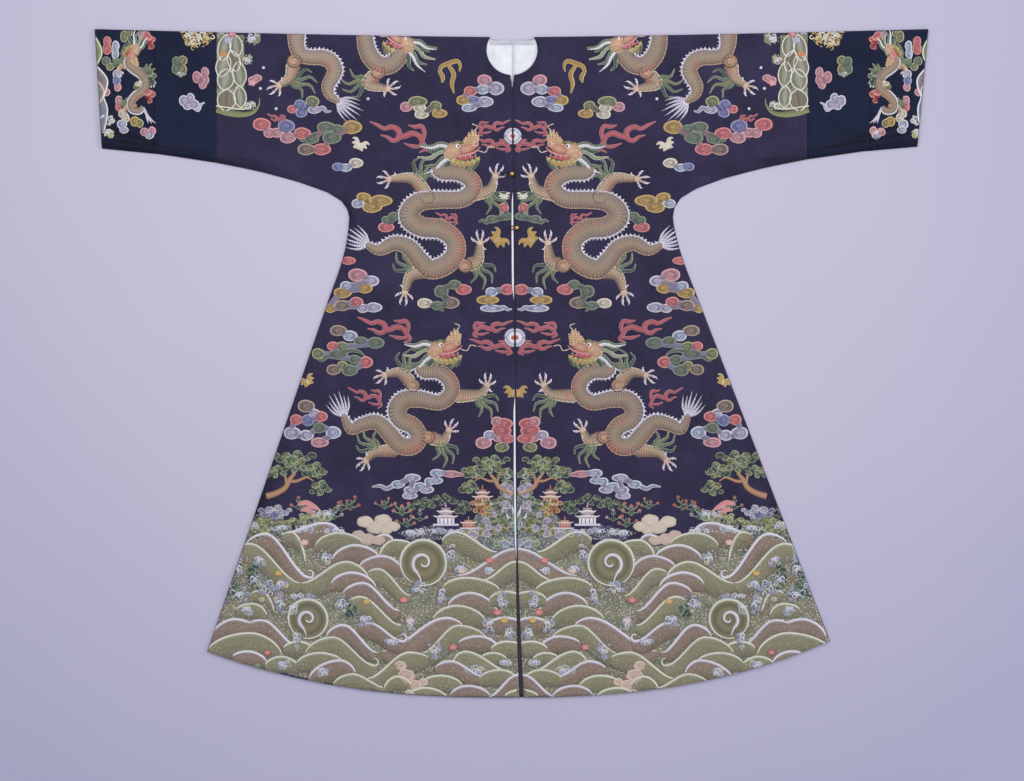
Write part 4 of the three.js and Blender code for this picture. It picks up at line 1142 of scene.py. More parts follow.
# outer foot, crest, inner foot, shape of the rise (0 round, 1 swept), of the fall (2 ends in a hook), fill
WAVES = [
    (500, -362, 408, -339, 373, -360, 1, 0, 1), (427, -387, 378, -360, 324, -383, 0, 0, 0),
    (297, -371, 281, -364, 262, -376, 0, 0, 1), (291, -408, 258, -375, 222, -384, 0, 0, 0),
    (158, -376, 129, -358, 42, -400, 0, 1, 0), (392, -417, 343, -386, 292, -412, 0, 0, 1),
    (336, -433, 286, -409, 243, -441, 0, 0, 1), (492, -362, 478, -358, 449, -420, 0, 0, 0),
    (572, -382, 532, -362, 440, -455, 0, 2, 1), (600, -392, 565, -383, 459, -466, 0, 1, 0),
    (126, -450, 4, -394, -24, -396, 1, 0, 1), (459, -466, 363, -421, 312, -462, 1, 0, 0),
    (316, -443, 294, -436, 226, -493, 0, 1, 0), (72, -459, 4, -421, -24, -424, 1, 0, 0),
    (156, -473, 110, -455, 38, -480, 0, 0, 0), (395, -468, 351, -444, 300, -474, 0, 0, 1),
    (370, -488, 327, -466, 251, -525, 0, 1, 1), (563, -488, 547, -482, 517, -526, 0, 0, 0),
    (148, -514, 102, -487, 44, -528, 0, 0, 1), (357, -503, 333, -495, 248, -556, 0, 1, 0),
    (597, -522, 562, -510, 533, -534, 0, 0, 0), (60, -500, 28, -484, -16, -500, 0, 0, 0),
    (180, -541, 129, -514, 68, -549, 0, 0, 0), (651, -580, 601, -543, 549, -571, 0, 0, 1),
    (572, -552, 543, -545, 468, -601, 0, 1, 1), (62, -552, 30, -540, -16, -556, 0, 0, 1),
    (291, -610, 153, -540, 119, -556, 1, 0, 1), (341, -556, 316, -551, 246, -590, 0, 2, 1),
    (408, -580, 372, -555, 300, -614, 0, 1, 1), (500, -604, 468, -590, 430, -612, 0, 0, 0),
    (207, -614, 129, -556, 69, -583, 1, 0, 0), (658, -606, 570, -572, 503, -618, 0, 0, 0),
    (129, -593, 86, -579, 44, -604, 0, 0, 1), (60, -606, 26, -590, -16, -604, 0, 0, 0),
    (454, -615, 394, -581, 308, -641, 0, 2, 0), (80, -622, 56, -614, 28, -627, 0, 0, 0),
    (142, -635, 115, -611, 10, -660, 0, 1, 0), (608, -621, 576, -611, 536, -634, 0, 0, 1),
    (540, -640, 505, -622, 468, -646, 0, 0, 0), (473, -636, 425, -614, 376, -631, 0, 0, 0),
    (326, -668, 234, -613, 194, -624, 1, 0, 0), (180, -646, 146, -632, 78, -664, 0, 1, 1),
    (449, -669, 381, -630, 349, -658, 0, 0, 1), (88, -668, 44, -650, 8, -668, 0, 0, 0),
    (204, -672, 168, -662, 124, -683, 0, 0, 0), (397, -680, 355, -659, 287, -688, 0, 1, 0),
    (72, -708, 7, -661, -20, -664, 1, 0, 1), (290, -690, 261, -664, 232, -684, 0, 0, 0),
    (150, -702, 112, -684, 66, -706, 0, 0, 1), (240, -704, 204, -688, 160, -706, 0, 0, 0),
    (36, -706, -1, -692, -20, -700, 0, 0, 0)]


def wave_line(foot_d, foot_y, crest_d, crest_y, end_d, end_y, rise, fall):
    """Crest line from three places. A round side is a quarter of a sine, a swept one is 3t^2 - 2t^3, and a
    hook is half a small circle that curls up from the tail."""
    t = np.linspace(0, 1, 9)
    up = smooth(t) if rise else np.sin(t * math.pi / 2)
    down = smooth(t) if fall else 1 - np.cos(t * math.pi / 2)
    first = np.stack([mix(foot_d, crest_d, t if rise else 1 - np.cos(t * math.pi / 2) * (1 - 0.25 * t)),
                      mix(foot_y, crest_y, up)], 1)
    last = np.stack([mix(crest_d, end_d, t if fall else np.sin(t * math.pi / 2) * (0.75 + 0.25 * t)),
                     mix(crest_y, end_y, down)], 1)
    parts = [first, last[1:]]
    if fall == 2:
        parts.append(ring((end_d, end_y + 9), (9, 9), 250, 60, count=7, shrink=0.7))
    return np.concatenate(parts)


WAVE_LAYER, ON_WAVES = 0.11, 2.3


def wave(work, row, base):
    """The body hangs straight down from the crest line, deepest below the crest and shallow at the feet, in
    shades that follow the line. The cord lies on the line."""
    fill, edge, thick = FILLS[row[8]]
    line = smooth_path(wave_line(*row[:8]), 6.5)
    body = line[: len(line) - 4] if row[7] == 2 else line
    share = np.linspace(0, 1, len(body))[:, None]
    wide = abs(row[0] - row[4])
    fall = (16 + 0.26 * wide) * (0.3 + 0.7 * np.sin(share * math.pi) ** 0.7)
    t = np.array([0, 0.15, 0.32, 0.5, 0.7, 0.94, 1.0])
    high = np.where(t == 1, SUNK, base) + 0.012 * np.sin(t * 9) * (t < 1) + 0 * share
    work.lay(body[:, :1] + 0 * t, body[:, 1:] - fall * t, high, shade(fill, t + 0 * share),
             share * 150 + 0 * t, fall * t, 0.3)
    run = np.linspace(0, 1, len(line))
    work.band(line, np.interp(run, (0, 0.12, 0.85, 1), (0.8, thick, thick, 1.0)), edge, base + 0.15, 0.5, 7)
    return work.grids[-1], body, fall[:, 0]


def end_crests(crests):
    """A crest cord goes under the cloth where a later wave laps over it: there it lies between that wave's
    line and its foot."""
    for k, (cord, _, _) in enumerate(crests):
        d, y, high = cord[:3]
        for _, line, fall in crests[k + 1:]:
            order = np.argsort(line[:, 0])
            top = np.interp(d, line[order, 0], line[order, 1], left=-1e9, right=-1e9)
            deep = np.interp(d, line[order, 0], fall[order])
            high[(y < top - 0.8) & (y > top - deep + 1)] = SUNK


waves = Work()
WAVE_TOP = ((0, 60, 130, 200, 290, 380, 440, 500, 560, 600, 680),
            (-388, -396, -382, -388, -388, -376, -370, -374, -388, -402, -430))
ground_d, ground_s = np.meshgrid(np.linspace(-4, 700, 120),
        np.concatenate([[0, 0.006], np.linspace(0.03, 1, 34)]))
ground_y = mix(hem_y(LEFT, ground_d), np.interp(ground_d, *WAVE_TOP), ground_s)
slow = 0.28 * np.sin(ground_d / 31 + 2 * np.sin(ground_s * 9))
tone = 0.5 + slow + 0.22 * np.sin(ground_s * 40 + ground_d / 19)
ground_tones = [(104, 108, 90), (134, 134, 112), (118, 106, 98), (120, 122, 100)]
waves.lay(ground_d, ground_y, 0.12, shade(ground_tones, tone), ground_d, ground_s * 350, 1.0)
laid, crests = [], []
for row in WAVES:
    low, high = sorted((row[0], row[4]))
    foot = min(row[1], row[5]) - 16 - 0.26 * (high - low)
    under = [r for r in laid if low < r[1] and high > r[0] and foot < r[3] and row[3] > r[2]]
    level = 1 + max([r[4] for r in under], default=0)
    laid.append((low, high, foot, row[3], level))
    crests.append(wave(waves, row, 0.4 + WAVE_LAYER * level))
end_crests(crests)
print("layers of waves:", max(r[4] for r in laid))


# %% Great spirals and foam
def spiral(work, at, radius, flip=1, base=2.0):
    """Spiral wave: a disc in turning shades with a thick pale cord round it, and the cord's end winding in
    to the middle, a little more than once round."""
    tones = [(150, 140, 112), (112, 104, 80), (138, 130, 104), (104, 100, 78), (146, 144, 112)]
    work.lobe(at, (radius, radius), tones, base - 0.2, 0.3, spokes=40, rings=8)
    rim = ring((0, 0), (radius, radius), -60, 285, count=50) * (flip, 1)
    wind = ring((0, 0), (radius * 0.5, radius * 0.5), -55, 330, count=34, shrink=0.16) * (flip, 1)
    tail = np.array([(0.08, -0.9), (0.17, -0.62)]) * radius * (flip, 1)
    work.band(rim + at, (1.0, 3.2, 3.2, 2.6, 1.4), FILLS[0][1], base + 0.2, 0.6, 4)
    work.band(np.concatenate([tail, wind]) + at, (0.8, 3.6, 3.8, 3.2, 2.0), FILLS[1][1], base + 0.3, 0.6, 4)


def foam(work, at, span, count, colours, base=ON_WAVES):
    """Spray: scalloped patches in pale shades, little round knots scattered over an oval, and a few hooked
    curls among them."""
    for k in range(max(count // 4, 1)):
        spot = np.array(at) + (chance.random(2) - 0.5) * span * 1.5
        size = 3.5 + 3.5 * chance.random()
        tone = np.array(colours[k % len(colours)], float)
        work.lobe(spot, (size * 1.2, size), [tone * 0.7, tone * 0.85, tone], base - 0.15, 0.3, rings=1,
                  petals=7, dent=0.25, spokes=14)
    for k in range(count):
        angle, far = chance.random() * 2 * math.pi, math.sqrt(chance.random())
        spot = (at[0] + span[0] * far * math.cos(angle), at[1] + span[1] * far * math.sin(angle))
        size = 1.2 + 1.1 * chance.random()
        tone = colours[k % len(colours)]
        work.lobe(spot, (size, size), [mix(np.array(tone), 235.0, 0.2), mix(np.array(tone), 100.0, 0.3)],
                  base, 0.4, spokes=6, rings=1)
    for k in range(count // 6):
        spot = np.array(at) + (np.array([chance.random(), chance.random()]) - 0.5) * span
        hook = ring((0, 0), (6, 6), 200, -90, count=9, shrink=0.4) * (1 if k % 2 else -1, 1) + spot
        work.cord(hook, 1.0, (204, 208, 222), base + 0.1, 0.3, 3)


def tufts(work, at, span, count, colours, base=0.5):
    """Needle pads or moss: scalloped lobes scattered over an oval, each with a pale edge and a squiggle."""
    for k in range(count):
        angle, far = k * 2.4, math.sqrt((k + 0.5) / count)
        spot = (at[0] + span[0] * far * math.cos(angle), at[1] + span[1] * far * math.sin(angle))
        r = (5.5 + 4.5 * chance.random()) * (1.1 - 0.3 * far)
        tone = np.array(colours[k % len(colours)], float)
        pale, high = mix(tone, np.array(CREAM), 0.45), base + 0.04 * (k % 5)
        work.lobe(spot, (r * 1.35, r), [tone * 0.8, tone * 0.6, tone * 0.85, tone], high, 0.3, k, rings=2,
                  petals=9, dent=0.3, spokes=18)
        work.cord(ring(spot, (r * 1.15, r * 0.86), 40 * k, 240 + 40 * k, count=10), 0.8, pale, high + 0.2,
                  0.25, 4)
        work.cord(ring(spot, (r * 0.6, r * 0.5), -60 * k, 160 - 60 * k, count=7, shrink=0.4), 0.7, pale,
                  high + 0.3, 0.2, 4)


spiral(waves, (199, -423), 48)
spiral(waves, (446, -542), 41)
FOAM = [(143, -398, 12, 28), (208, -476, 22, 16), (160, -492, 8, 22), (66, -558, 16, 20),
        (228, -550, 7, 18), (176, -610, 22, 20), (32, -502, 12, 26), (408, -412, 16, 16),
        (530, -480, 20, 34), (458, -494, 34, 5), (368, -510, 22, 22), (325, -547, 18, 14),
        (470, -585, 8, 24), (612, -470, 16, 40), (20, -570, 10, 16), (96, -650, 22, 12),
        (500, -640, 14, 10), (270, -590, 16, 8), (420, -655, 14, 10), (30, -636, 16, 8),
        (545, -420, 14, 12), (596, -440, 14, 16), (586, -490, 16, 18), (574, -525, 12, 10),
        (556, -462, 12, 14), (500, -470, 14, 10), (505, -510, 10, 26), (476, -520, 10, 12),
        (120, -436, 14, 8), (60, -440, 12, 6)]
for d, y, wide, deep in FOAM:
    foam(waves, (d, y), (wide, deep), 28, [BLUE_PALE, LILAC, CREAM, BLUE_PALE])
for d, y, colour in ((534, -613, RED), (242, -502, CORAL), (58, -418, CORAL), (140, -602, CORAL),
                     (30, -545, OCHRE), (506, -445, OCHRE), (556, -640, GREEN), (44, -528, CORAL),
                     (230, -545, ROSE), (320, -505, OCHRE), (16, -562, GREEN), (118, -440, ROSE),
                     (450, -380, ROSE)):
    waves.lobe((d, y), (10, 7), [EDGE_OF.get(colour, CREAM), colour], ON_WAVES, 0.3, petals=7, dent=0.3,
               spokes=28)
for d, y, wide, deep, count in ((352, -524, 10, 16, 6), (557, -452, 12, 26, 8), (604, -470, 10, 30, 8)):
    tufts(waves, (d, y), (wide, deep), count, [(56, 84, 76), (92, 116, 102), (66, 96, 84)], 2.1)
for d, y, r in ((240, -664, 20), (222, -684, 16), (252, -642, 14), (205, -676, 11), (236, -700, 11),
                (566, -662, 10)):
    waves.lobe((d, y), (r, r * 0.9), [(190, 164, 150), (206, 184, 172), (184, 150, 142)], 2.2, 0.3,
               petals=7, dent=0.2, spokes=36)
    waves.cord(ring((d, y), (r, r * 0.9), 0, 300, count=18, shrink=0.3), 0.9, CREAM, 2.4, 0.3)

# %% [markdown]
# ## Shore, pines and pavilions
# Where the waves meet the dark ground, the embroiderer set a small landscape: a stepped rock at the opening
# and another at the side, pines, little pavilions, and sprays of blossom. Each is a few bands and lobes in a
# function of its own, because a maker repeats such a figure at several sizes.


# %% Pines, rocks, pavilions and blossom
def pine(work, at, size=1.0, flip=1):
    """A leaning tan trunk with boughs, under flat clumps of needles."""
    for path, half in (([(64, -46), (44, -40), (24, -28), (14, -10), (2, 4)], (7, 6.5, 6, 5.5, 3)),
                       ([(16, -14), (0, -14), (-22, -6), (-36, -14)], (4, 3.6, 3, 1.4)),
                       ([(20, -24), (24, -4), (34, 8)], (4, 3, 1.4))):
        work.band(place(path, at, size, 0, flip), np.array(half) * size,
                  [(134, 98, 76), (190, 146, 112), (150, 108, 84)], 0.45, 0.6)
    for x, y, wide, deep, count in ((6, 36, 46, 11, 11), (4, 16, 26, 9, 7), (-38, 8, 26, 14, 9),
            (44, 4, 22, 11, 7), (-50, -30, 22, 13, 7)):
        middle = place([(x, y)], at, size, 0, flip)[0]
        tufts(work, middle, (wide * size, deep * size), count, [GREEN, GREEN_DARK, (116, 138, 104), OLIVE],
              0.6)


def rock(work, at, width, height, steps=4):
    """Stepped rock: leaning peaks behind one another, each of nested bands in green, blue and white."""
    bands = [[GREEN_DARK, GREEN], [BLUE_PALE, WHITE], [GREEN, GREEN_PALE], [BLUE, BLUE_PALE],
             [(150, 96, 92), CORAL]]
    for k in range(steps):
        x = (k / (steps - 1) - 0.5) * width * 0.8
        tall = height * (1 - 0.42 * abs(x) / (0.5 * width) - 0.08 * (k % 2))
        for j, colours in enumerate(bands[: 4 if k % 2 else 5]):
            inner = 1 - 0.2 * j
            peak = [(x + 2, -height * 0.5), (x - 3, -height * 0.5 + tall * 0.5 * inner),
                    (x + 2, -height * 0.5 + tall * inner)]
            wide = width / steps * 0.85 * inner
            work.band(np.array(peak) + at, (wide, wide, wide * 0.85, wide * 0.5, 0.8), colours,
                      0.4 + 0.1 * j + 0.1 * (k % 2), 0.2, 4)


def pavilion(work, at, size=1.0, wall=WHITE, roof=(196, 168, 176), tiers=2):
    """Small pavilion: a terrace, a pale wall with dark posts, and roofs with upturned eaves, one above the
    other, under a finial."""
    def bar(points, half, colours, base):
        work.band(place(points, at, size), np.array(half) * size, colours, base, 0.3, 4)

    bar([(-26, -14), (26, -14)], [2.4], [LILAC, WHITE], 0.5)
    bar([(-17, -6), (17, -6)], [6.5], [wall, mix(np.array(wall), 255.0, 0.3)], 0.5)
    for x in (-12, -4, 4, 12):
        bar([(x, -12), (x, 0)], [0.9], [BLUE_DARK], 0.9)
    for k in range(tiers):
        y, reach = 2 + 10 * k, 25 - 7 * k
        bar([(-reach, y + 3), (-reach * 0.7, y), (0, y + 1), (reach * 0.7, y), (reach, y + 3)],
            [0.8, 3.2, 4.4, 3.2, 0.8], [roof, WHITE], 0.8)
        bar([(-reach * 0.5, y + 6), (reach * 0.5, y + 6)], [2.6], [BROWN_DARK, roof], 0.7)
    bar([(0, 6 + 10 * tiers - 4), (0, 16 + 10 * tiers - 4)], [2.2, 0.4], [roof], 0.9)


def blossom(work, at, size, petals, colours, base=0.6):
    """Flower: petal lobes round a middle knot."""
    for a in np.linspace(0, 2 * math.pi, petals, endpoint=False) + 0.3:
        spot = (at[0] + 0.62 * size * math.cos(a), at[1] + 0.62 * size * math.sin(a))
        work.lobe(spot, (size * 0.48, size * 0.36), colours, base, 0.3, a, spokes=10, rings=1)
    work.lobe(at, (size * 0.3, size * 0.3), [OCHRE], base + 0.3, 0.3, spokes=8, rings=1)


def spray(work, at, size, colours, count=5, flip=1):
    """Stems that fan out, with leaves and a flower or bud on each."""
    for k in range(count):
        a = math.pi / 2 + (k / max(count - 1, 1) - 0.5) * 2.0
        reach = size * (0.7 + 0.3 * (k % 2))
        tip = (math.cos(a) * reach, math.sin(a) * reach)
        work.cord(place([(0, 0), (tip[0] * 0.5, tip[1] * 0.6), tip], at, 1, 0, flip), 0.8, GREEN, 0.4)
        for s in (-1, 1):
            leaf = [(tip[0] * 0.5, tip[1] * 0.55), (tip[0] * 0.5 + s * size * 0.14, tip[1] * 0.7),
                    (tip[0] * 0.55 + s * size * 0.2, tip[1] * 0.85)]
            work.band(place(leaf, at, 1, 0, flip), (0.5, size * 0.06, 0.3), [GREEN, GREEN_PALE], 0.5, 0.2, 3)
        blossom(work, place([tip], at, 1, 0, flip)[0], size * 0.15, 5,
                [mix(np.array(c), np.array(BROWN), 0.35) for c in colours])


def lace(work, tops, low, tones):
    """Ground closely covered in knots, from a level line up to a ragged one."""
    d, share = np.meshgrid(np.linspace(tops[0][0], tops[0][-1], 40), np.linspace(0, 1, 24))
    ragged = np.interp(d, *tops) + 5 * np.abs(np.sin(d / 6)) - 4 * np.sin(d / 17)
    y = mix(low, ragged, share)
    tone = 0.5 + 0.3 * np.sin(d / 9 + 3 * np.sin(y / 13)) + 0.2 * np.sin(y / 7)
    edge = (share == 1) | (d == d.min()) | (d == d.max())
    work.lay(d, y, np.where(edge, SUNK, 0.2), shade(tones, tone), d, y, 1.0)


shore = Work()
lace(shore, ((-3, 14, 40, 70, 96, 128), (-276, -262, -290, -312, -340, -362)), -402,
     [(62, 82, 72), (112, 112, 128), (88, 104, 84)])
lace(shore, ((474, 500, 530, 566, 600, 640), (-352, -330, -318, -334, -368, -410)), -416,
     [(70, 82, 92), (108, 112, 96), (84, 92, 78)])
lace(shore, ((128, 170, 215, 236), (-352, -350, -354, -362)), -374, [(60, 56, 84), (98, 96, 126)])
for d, y, wide, deep, count, colours in ((200, -300, 28, 10, 7, [GREEN_DARK, (72, 96, 80)]),
        (158, -290, 30, 10, 7, [GREEN_DARK, (72, 96, 80)]), (113, -305, 14, 16, 6, [GREEN_DARK]),
        (512, -316, 34, 12, 10, [LILAC, BLUE_PALE, BLUE]),
        (534, -346, 36, 14, 12, [OLIVE, GREEN, OLIVE_PALE]), (566, -368, 22, 12, 7, [GREEN, GREEN_DARK]),
        (424, -326, 34, 10, 9, [GREEN_PALE, OLIVE_PALE]), (464, -336, 26, 8, 6, [GREEN, OLIVE_PALE]),
        (36, -300, 26, 14, 9, [GREEN, LILAC, GREEN_DARK]), (40, -340, 34, 22, 14, [GREEN, OLIVE, LILAC]),
        (24, -378, 22, 8, 6, [BLUE_PALE, GREEN_PALE]), (90, -360, 34, 7, 7, [LILAC, OLIVE_PALE]),
        (72, -304, 22, 20, 9, [(176, 128, 76), OCHRE, (190, 120, 84)]),
        (20, -262, 12, 26, 7, [LILAC, GREEN])):
    tufts(shore, (d, y), (wide, deep), count, colours)
rock(shore, (8, -318), 30, 70, 3)
rock(shore, (590, -392), 40, 60, 3)
pine(shore, (466, -236), 1.0, 1)
pine(shore, (58, -238), 0.84, -1)
pavilion(shore, (150, -328), 1.05)
pavilion(shore, (72, -286), 0.9, (222, 160, 110), (196, 130, 92), 2)
pavilion(shore, (102, -340), 0.72, (206, 120, 96), (214, 150, 110), 1)
for x, y, r in ((335, -364, 13), (316, -373, 16), (294, -375, 14), (321, -336, 16), (283, -333, 17),
                (262, -346, 14), (299, -348, 18), (277, -353, 13)):
    tone = (214, 200, 184) if y > -360 else (200, 176, 166)
    shore.lobe((x, y), (r * 1.15, r * 0.8), [tone, tone, mix(np.array(tone), 120.0, 0.2)], 0.7, 0.5,
               petals=5, dent=0.08, spokes=30)
for path in ([(464, -300), (446, -296), (430, -304), (416, -312)],
             [(458, -312), (444, -310), (432, -320), (424, -330)]):
    wisp(shore, path, (1, 5, 5, 0.6), [CORAL, ROSE], ROSE, 0.5)
for d, y, size, colours, count in ((243, -312, 30, [ROSE, CORAL], 5), (352, -300, 30, [CORAL, RED], 4),
        (462, -300, 26, [ROSE, RED], 3), (205, -326, 24, [WHITE, ROSE], 3),
        (388, -320, 30, [CREAM, LILAC], 4), (279, -300, 24, [PINK, CORAL], 4),
        (556, -318, 26, [ROSE, LILAC], 3), (232, -338, 26, [PINK, CORAL], 4),
        (372, -306, 22, [CORAL, BROWN], 3)):
    spray(shore, (d, y - size * 0.4), size, colours, count, 1 if count % 2 else -1)
for d, y, wide, deep in ((184, -358, 40, 6), (388, -352, 26, 8), (440, -352, 30, 8), (130, -358, 30, 6),
        (410, -320, 30, 8), (500, -352, 24, 8), (230, -360, 20, 6), (560, -344, 20, 8)):
    foam(shore, (d, y), (wide, deep), 24, [BLUE_PALE, WHITE, LILAC, GREEN_PALE], 0.8)

# %% [markdown]
# ## Sleeves
# The sleeve ends repeat the coat in small: a block of upright waves at the sleeve seam, a gold roundel cut
# by the fold, a column of waves along the cuff's edge and a small dragon climbing among clouds.

# %% Sleeve waves, roundel and cuff dragon
sleeves = Work()


def leaf_wave(work, at, radii, turn, kind, base):
    """Upright wave: a pointed oval, half = radius * (1 - |t|^2.4), with a thick cord round it and two thin
    lines inside."""
    t = np.linspace(-1, 1, 11)
    bow = 1 - np.abs(t) ** 2.4
    work.band(place(np.stack([0 * t, t * radii[1]], 1), at, 1, turn), radii[0] * bow + 0.4,
              PALE_FILLS[kind], base, 0.3, 4, across=9)
    for share, half, colour in ((1, 1.35, (222, 220, 208)), (0.55, 0.7, PALE_FILLS[kind][0])):
        for side in (-1, 1):
            line = np.stack([side * share * radii[0] * bow, t * radii[1] * (0.5 + 0.5 * share)], 1)
            work.cord(place(line, at, 1, turn), half, colour, base + 0.25, 0.5)


def edge_wave(work, line, out, fill, colour, base):
    """Wave cut by the cloth's edge: a fill from its crest line out to the edge, and the crest cord."""
    line = smooth_path(line, 4)
    t = np.linspace(0, 1, 8)
    work.lay(mix(line[:, :1], out, t), line[:, 1:] - 5 * t, base + 0 * t, shade(fill, t + 0 * line[:, :1]),
             line[:, 1:] + 0 * t, 24 * t, 0.3)
    work.cord(line, 1.8, colour, base + 0.2, 0.5)


PALE_FILLS = [[(104, 104, 88), (142, 142, 128), (160, 158, 146), (132, 132, 114), (106, 106, 88)],
              [(98, 86, 72), (138, 132, 118), (108, 94, 78), (140, 134, 120), (104, 94, 78)]]
panel_x, panel_y = np.meshgrid(np.linspace(568, 626, 12), np.linspace(536, 712, 30))
sleeves.lay(panel_x, panel_y, 0.2, shade([OLIVE_DARK, (150, 150, 132), BROWN],
        0.5 + 0.5 * np.sin(panel_y / 14)), panel_x, panel_y, 0.7)
for d, y, wide, tall, turn, kind in ((610, 668, 13, 30, 0.2, 0), (585, 672, 13, 24, -0.1, 0),
        (612, 630, 15, 26, 0.3, 0), (590, 640, 13, 24, -0.3, 1), (607, 601, 17, 24, 0.25, 0),
        (578, 612, 14, 28, -0.12, 0), (606, 557, 19, 24, 0.1, 1), (577, 564, 13, 24, -0.1, 0)):
    leaf_wave(sleeves, (d, y), (wide, tall), turn, kind, 0.5 + 0.001 * (700 - y))
sleeves.band([(628, 536), (600, 530), (570, 527), (550, 532), (538, 546), (536, 562)], (5, 7, 7, 5, 3, 0.6),
             [OLIVE_DARK, OLIVE_PALE], 0.8, 0.4)
sleeves.cord([(628, 545), (600, 541), (572, 538), (552, 543)], 1.6, (226, 222, 196), 1.1)
foam(sleeves, (556, 545), (13, 10), 26, [CREAM, OLIVE_PALE, WHITE], 0.7)
foam(sleeves, (550, 688), (16, 14), 30, [GREEN_PALE, OLIVE_PALE, WHITE], 0.5)
foam(sleeves, (560, 642), (10, 14), 20, [OLIVE_PALE, CREAM, GREEN], 0.5)
for d, y, colours in ((594, 697, [ROSE, RED]), (612, 655, [CORAL, OCHRE]), (602, 684, [BLUE_PALE, LILAC]),
                      (551, 594, [ROSE, PINK]), (616, 702, [LILAC, GREEN_PALE])):
    sleeves.lobe((d, y), (10, 8), colours, 1.2, 0.3, petals=5, dent=0.3, spokes=20)

foam(sleeves, (668, 702), (35, 34), 150, [OCHRE, (222, 208, 160), CREAM, GOLD], 0.5)
for k in range(26):
    angle, far = 2.4 * k, 34 * math.sqrt((k + 0.5) / 26)
    spot = np.array((668 + far * math.cos(angle), 700 + far * math.sin(angle)))
    hook = ring((0, 0), (6.5, 5), 90 * k, 90 * k + 300, count=11, shrink=0.3) + spot
    sleeves.cord(hook, 1.2, ((214, 196, 146), (226, 216, 184), OCHRE)[k % 3], 0.8, 0.3, 3)
SLEEVE_CLOUDS = [
    [(711, 640, 8, 8, GREEN), (698, 641, 8, 9, OLIVE), (712, 624, 8, 10, GREEN), (699, 622, 8, 11, OLIVE)],
    [(651, 616, 7, 10, PINK), (651, 600, 7, 10, PINK), (668, 606, 8, 11, PINK), (656, 590, 7, 8, PINK)],
    [(696, 556, 9, 10, LILAC), (682, 562, 7, 9, LILAC), (688, 546, 9, 8, LILAC), (674, 548, 9, 9, LILAC)]]
for heads in SLEEVE_CLOUDS:
    cloud(sleeves, heads)
wisp(sleeves, [(672, 540), (666, 536), (660, 548), (652, 552)], (3.4, 3, 2, 0.4), LILAC, WHITE, 0.4)
foam(sleeves, (702, 612), (12, 5), 14, [GREEN_PALE, OLIVE_PALE], 0.4)

GREEN_FILL = [(148, 160, 124), (108, 122, 90), (128, 136, 112)]
PURPLE_FILL = [(148, 134, 142), (104, 92, 106), (128, 116, 122)]
for line, fill, colour in (([(884, 692), (872, 670), (871, 650), (888, 620)], GREEN_FILL, (206, 216, 180)),
        ([(866, 562), (859, 541), (860, 518), (866, 493)],
         [(136, 140, 168), (112, 108, 120), (140, 132, 128)], (222, 224, 232)),
        ([(880, 629), (861, 607), (858, 590), (867, 561)], PURPLE_FILL, (228, 226, 232)),
        ([(886, 606), (868, 584), (867, 566), (885, 534)], GREEN_FILL, (224, 196, 180)),
        ([(882, 508), (872, 520), (864, 526)], PURPLE_FILL, (222, 224, 232))):
    edge_wave(sleeves, line, 889, fill, colour, 0.5)
foam(sleeves, (858, 488), (12, 8), 24, [CREAM, GREEN_PALE, (196, 206, 150)], 0.7)
CUFF_SPINE = [(812, 652), (812, 634), (800, 622), (786, 612), (777, 596), (782, 578), (798, 566),
              (808, 552), (806, 538), (792, 534), (782, 542)]
CUFF_LEGS = [[(786, 606), (772, 608), (764, 596), (762, 586)],
             [(808, 628), (828, 628), (832, 618), (832, 606)],
             [(802, 545), (818, 540), (822, 528), (822, 518)]]
dragon(sleeves, CUFF_SPINE, (8, 9, 9, 9, 8.5, 8, 7, 5), CUFF_LEGS, False, 0.45)
for bend in (-4, 0, 4):
    sleeves.band([(782, 542), (776, 528), (770 + bend, 516), (764 + 2 * bend, 508)], (2, 3, 2.4, 0.4),
                 [LILAC, WHITE], 0.8, 0.3, 3)
dragon_head(sleeves, (800, 664), 0.5, 2.1)
CUFF_CLOUDS = [[(858, 682, 7, 9, CORAL), (858, 666, 8, 11, CORAL)],
               [(840, 672, 6, 10, BLUE_PALE), (841, 656, 6, 10, BLUE_PALE)],
               [(860, 640, 8, 8, GREEN), (852, 628, 7, 7, OLIVE)],
               [(838, 612, 7, 8, LILAC), (838, 599, 7, 9, BLUE)],
               [(836, 585, 6, 8, PINK), (860, 574, 6, 7, PINK)],
               [(834, 556, 6, 9, PINK), (834, 543, 6, 8, CORAL)],
               [(826, 528, 8, 7, CREAM), (820, 518, 7, 7, CREAM)],
               [(828, 506, 9, 8, BLUE_PALE), (824, 494, 8, 6, LILAC)],
               [(800, 512, 9, 9, OCHRE), (790, 508, 6, 8, OLIVE)],
               [(780, 490, 8, 7, PINK), (770, 484, 8, 8, LILAC), (764, 492, 6, 8, PINK)],
               [(822, 692, 7, 11, OLIVE), (812, 700, 6, 8, OLIVE)],
               [(784, 698, 8, 10, PINK), (774, 690, 7, 12, CORAL)]]
for heads in CUFF_CLOUDS:
    cloud(sleeves, heads)
for at, colours in (((766, 681), (RED, CORAL)), ((769, 565), (RED, CORAL)),
                    ((764, 604), (GREEN_DARK, GREEN)), ((790, 584), (OLIVE, CREAM))):
    tufts(sleeves, at, (7, 12), 4, colours, 0.8)
foam(sleeves, (852, 514), (7, 12), 14, [CREAM, GREEN_PALE, WHITE], 0.5)


# %% Sew the frames of work on to the coat
work_pieces = {
    "dragons": embroider("embroidered_dragons", dragons),
    "clouds": embroider("embroidered_clouds", clouds),
    "waves": embroider("embroidered_waves", waves),
    "shore": embroider("embroidered_shore", shore),
    "sleeves": embroider("embroidered_sleeves", sleeves),
}

# %% [markdown]
# ## Finishes
# Plain-woven silk is dark because light enters it, and it shines along its threads. Each finish is a
# Principled shader whose colour drifts slowly, with a fine weave in its bump. They read the Object
# coordinates, so the pattern has its real size on every piece. The embroidery reads the floss colour stored
# on its own points, and a thread direction from its UV map.


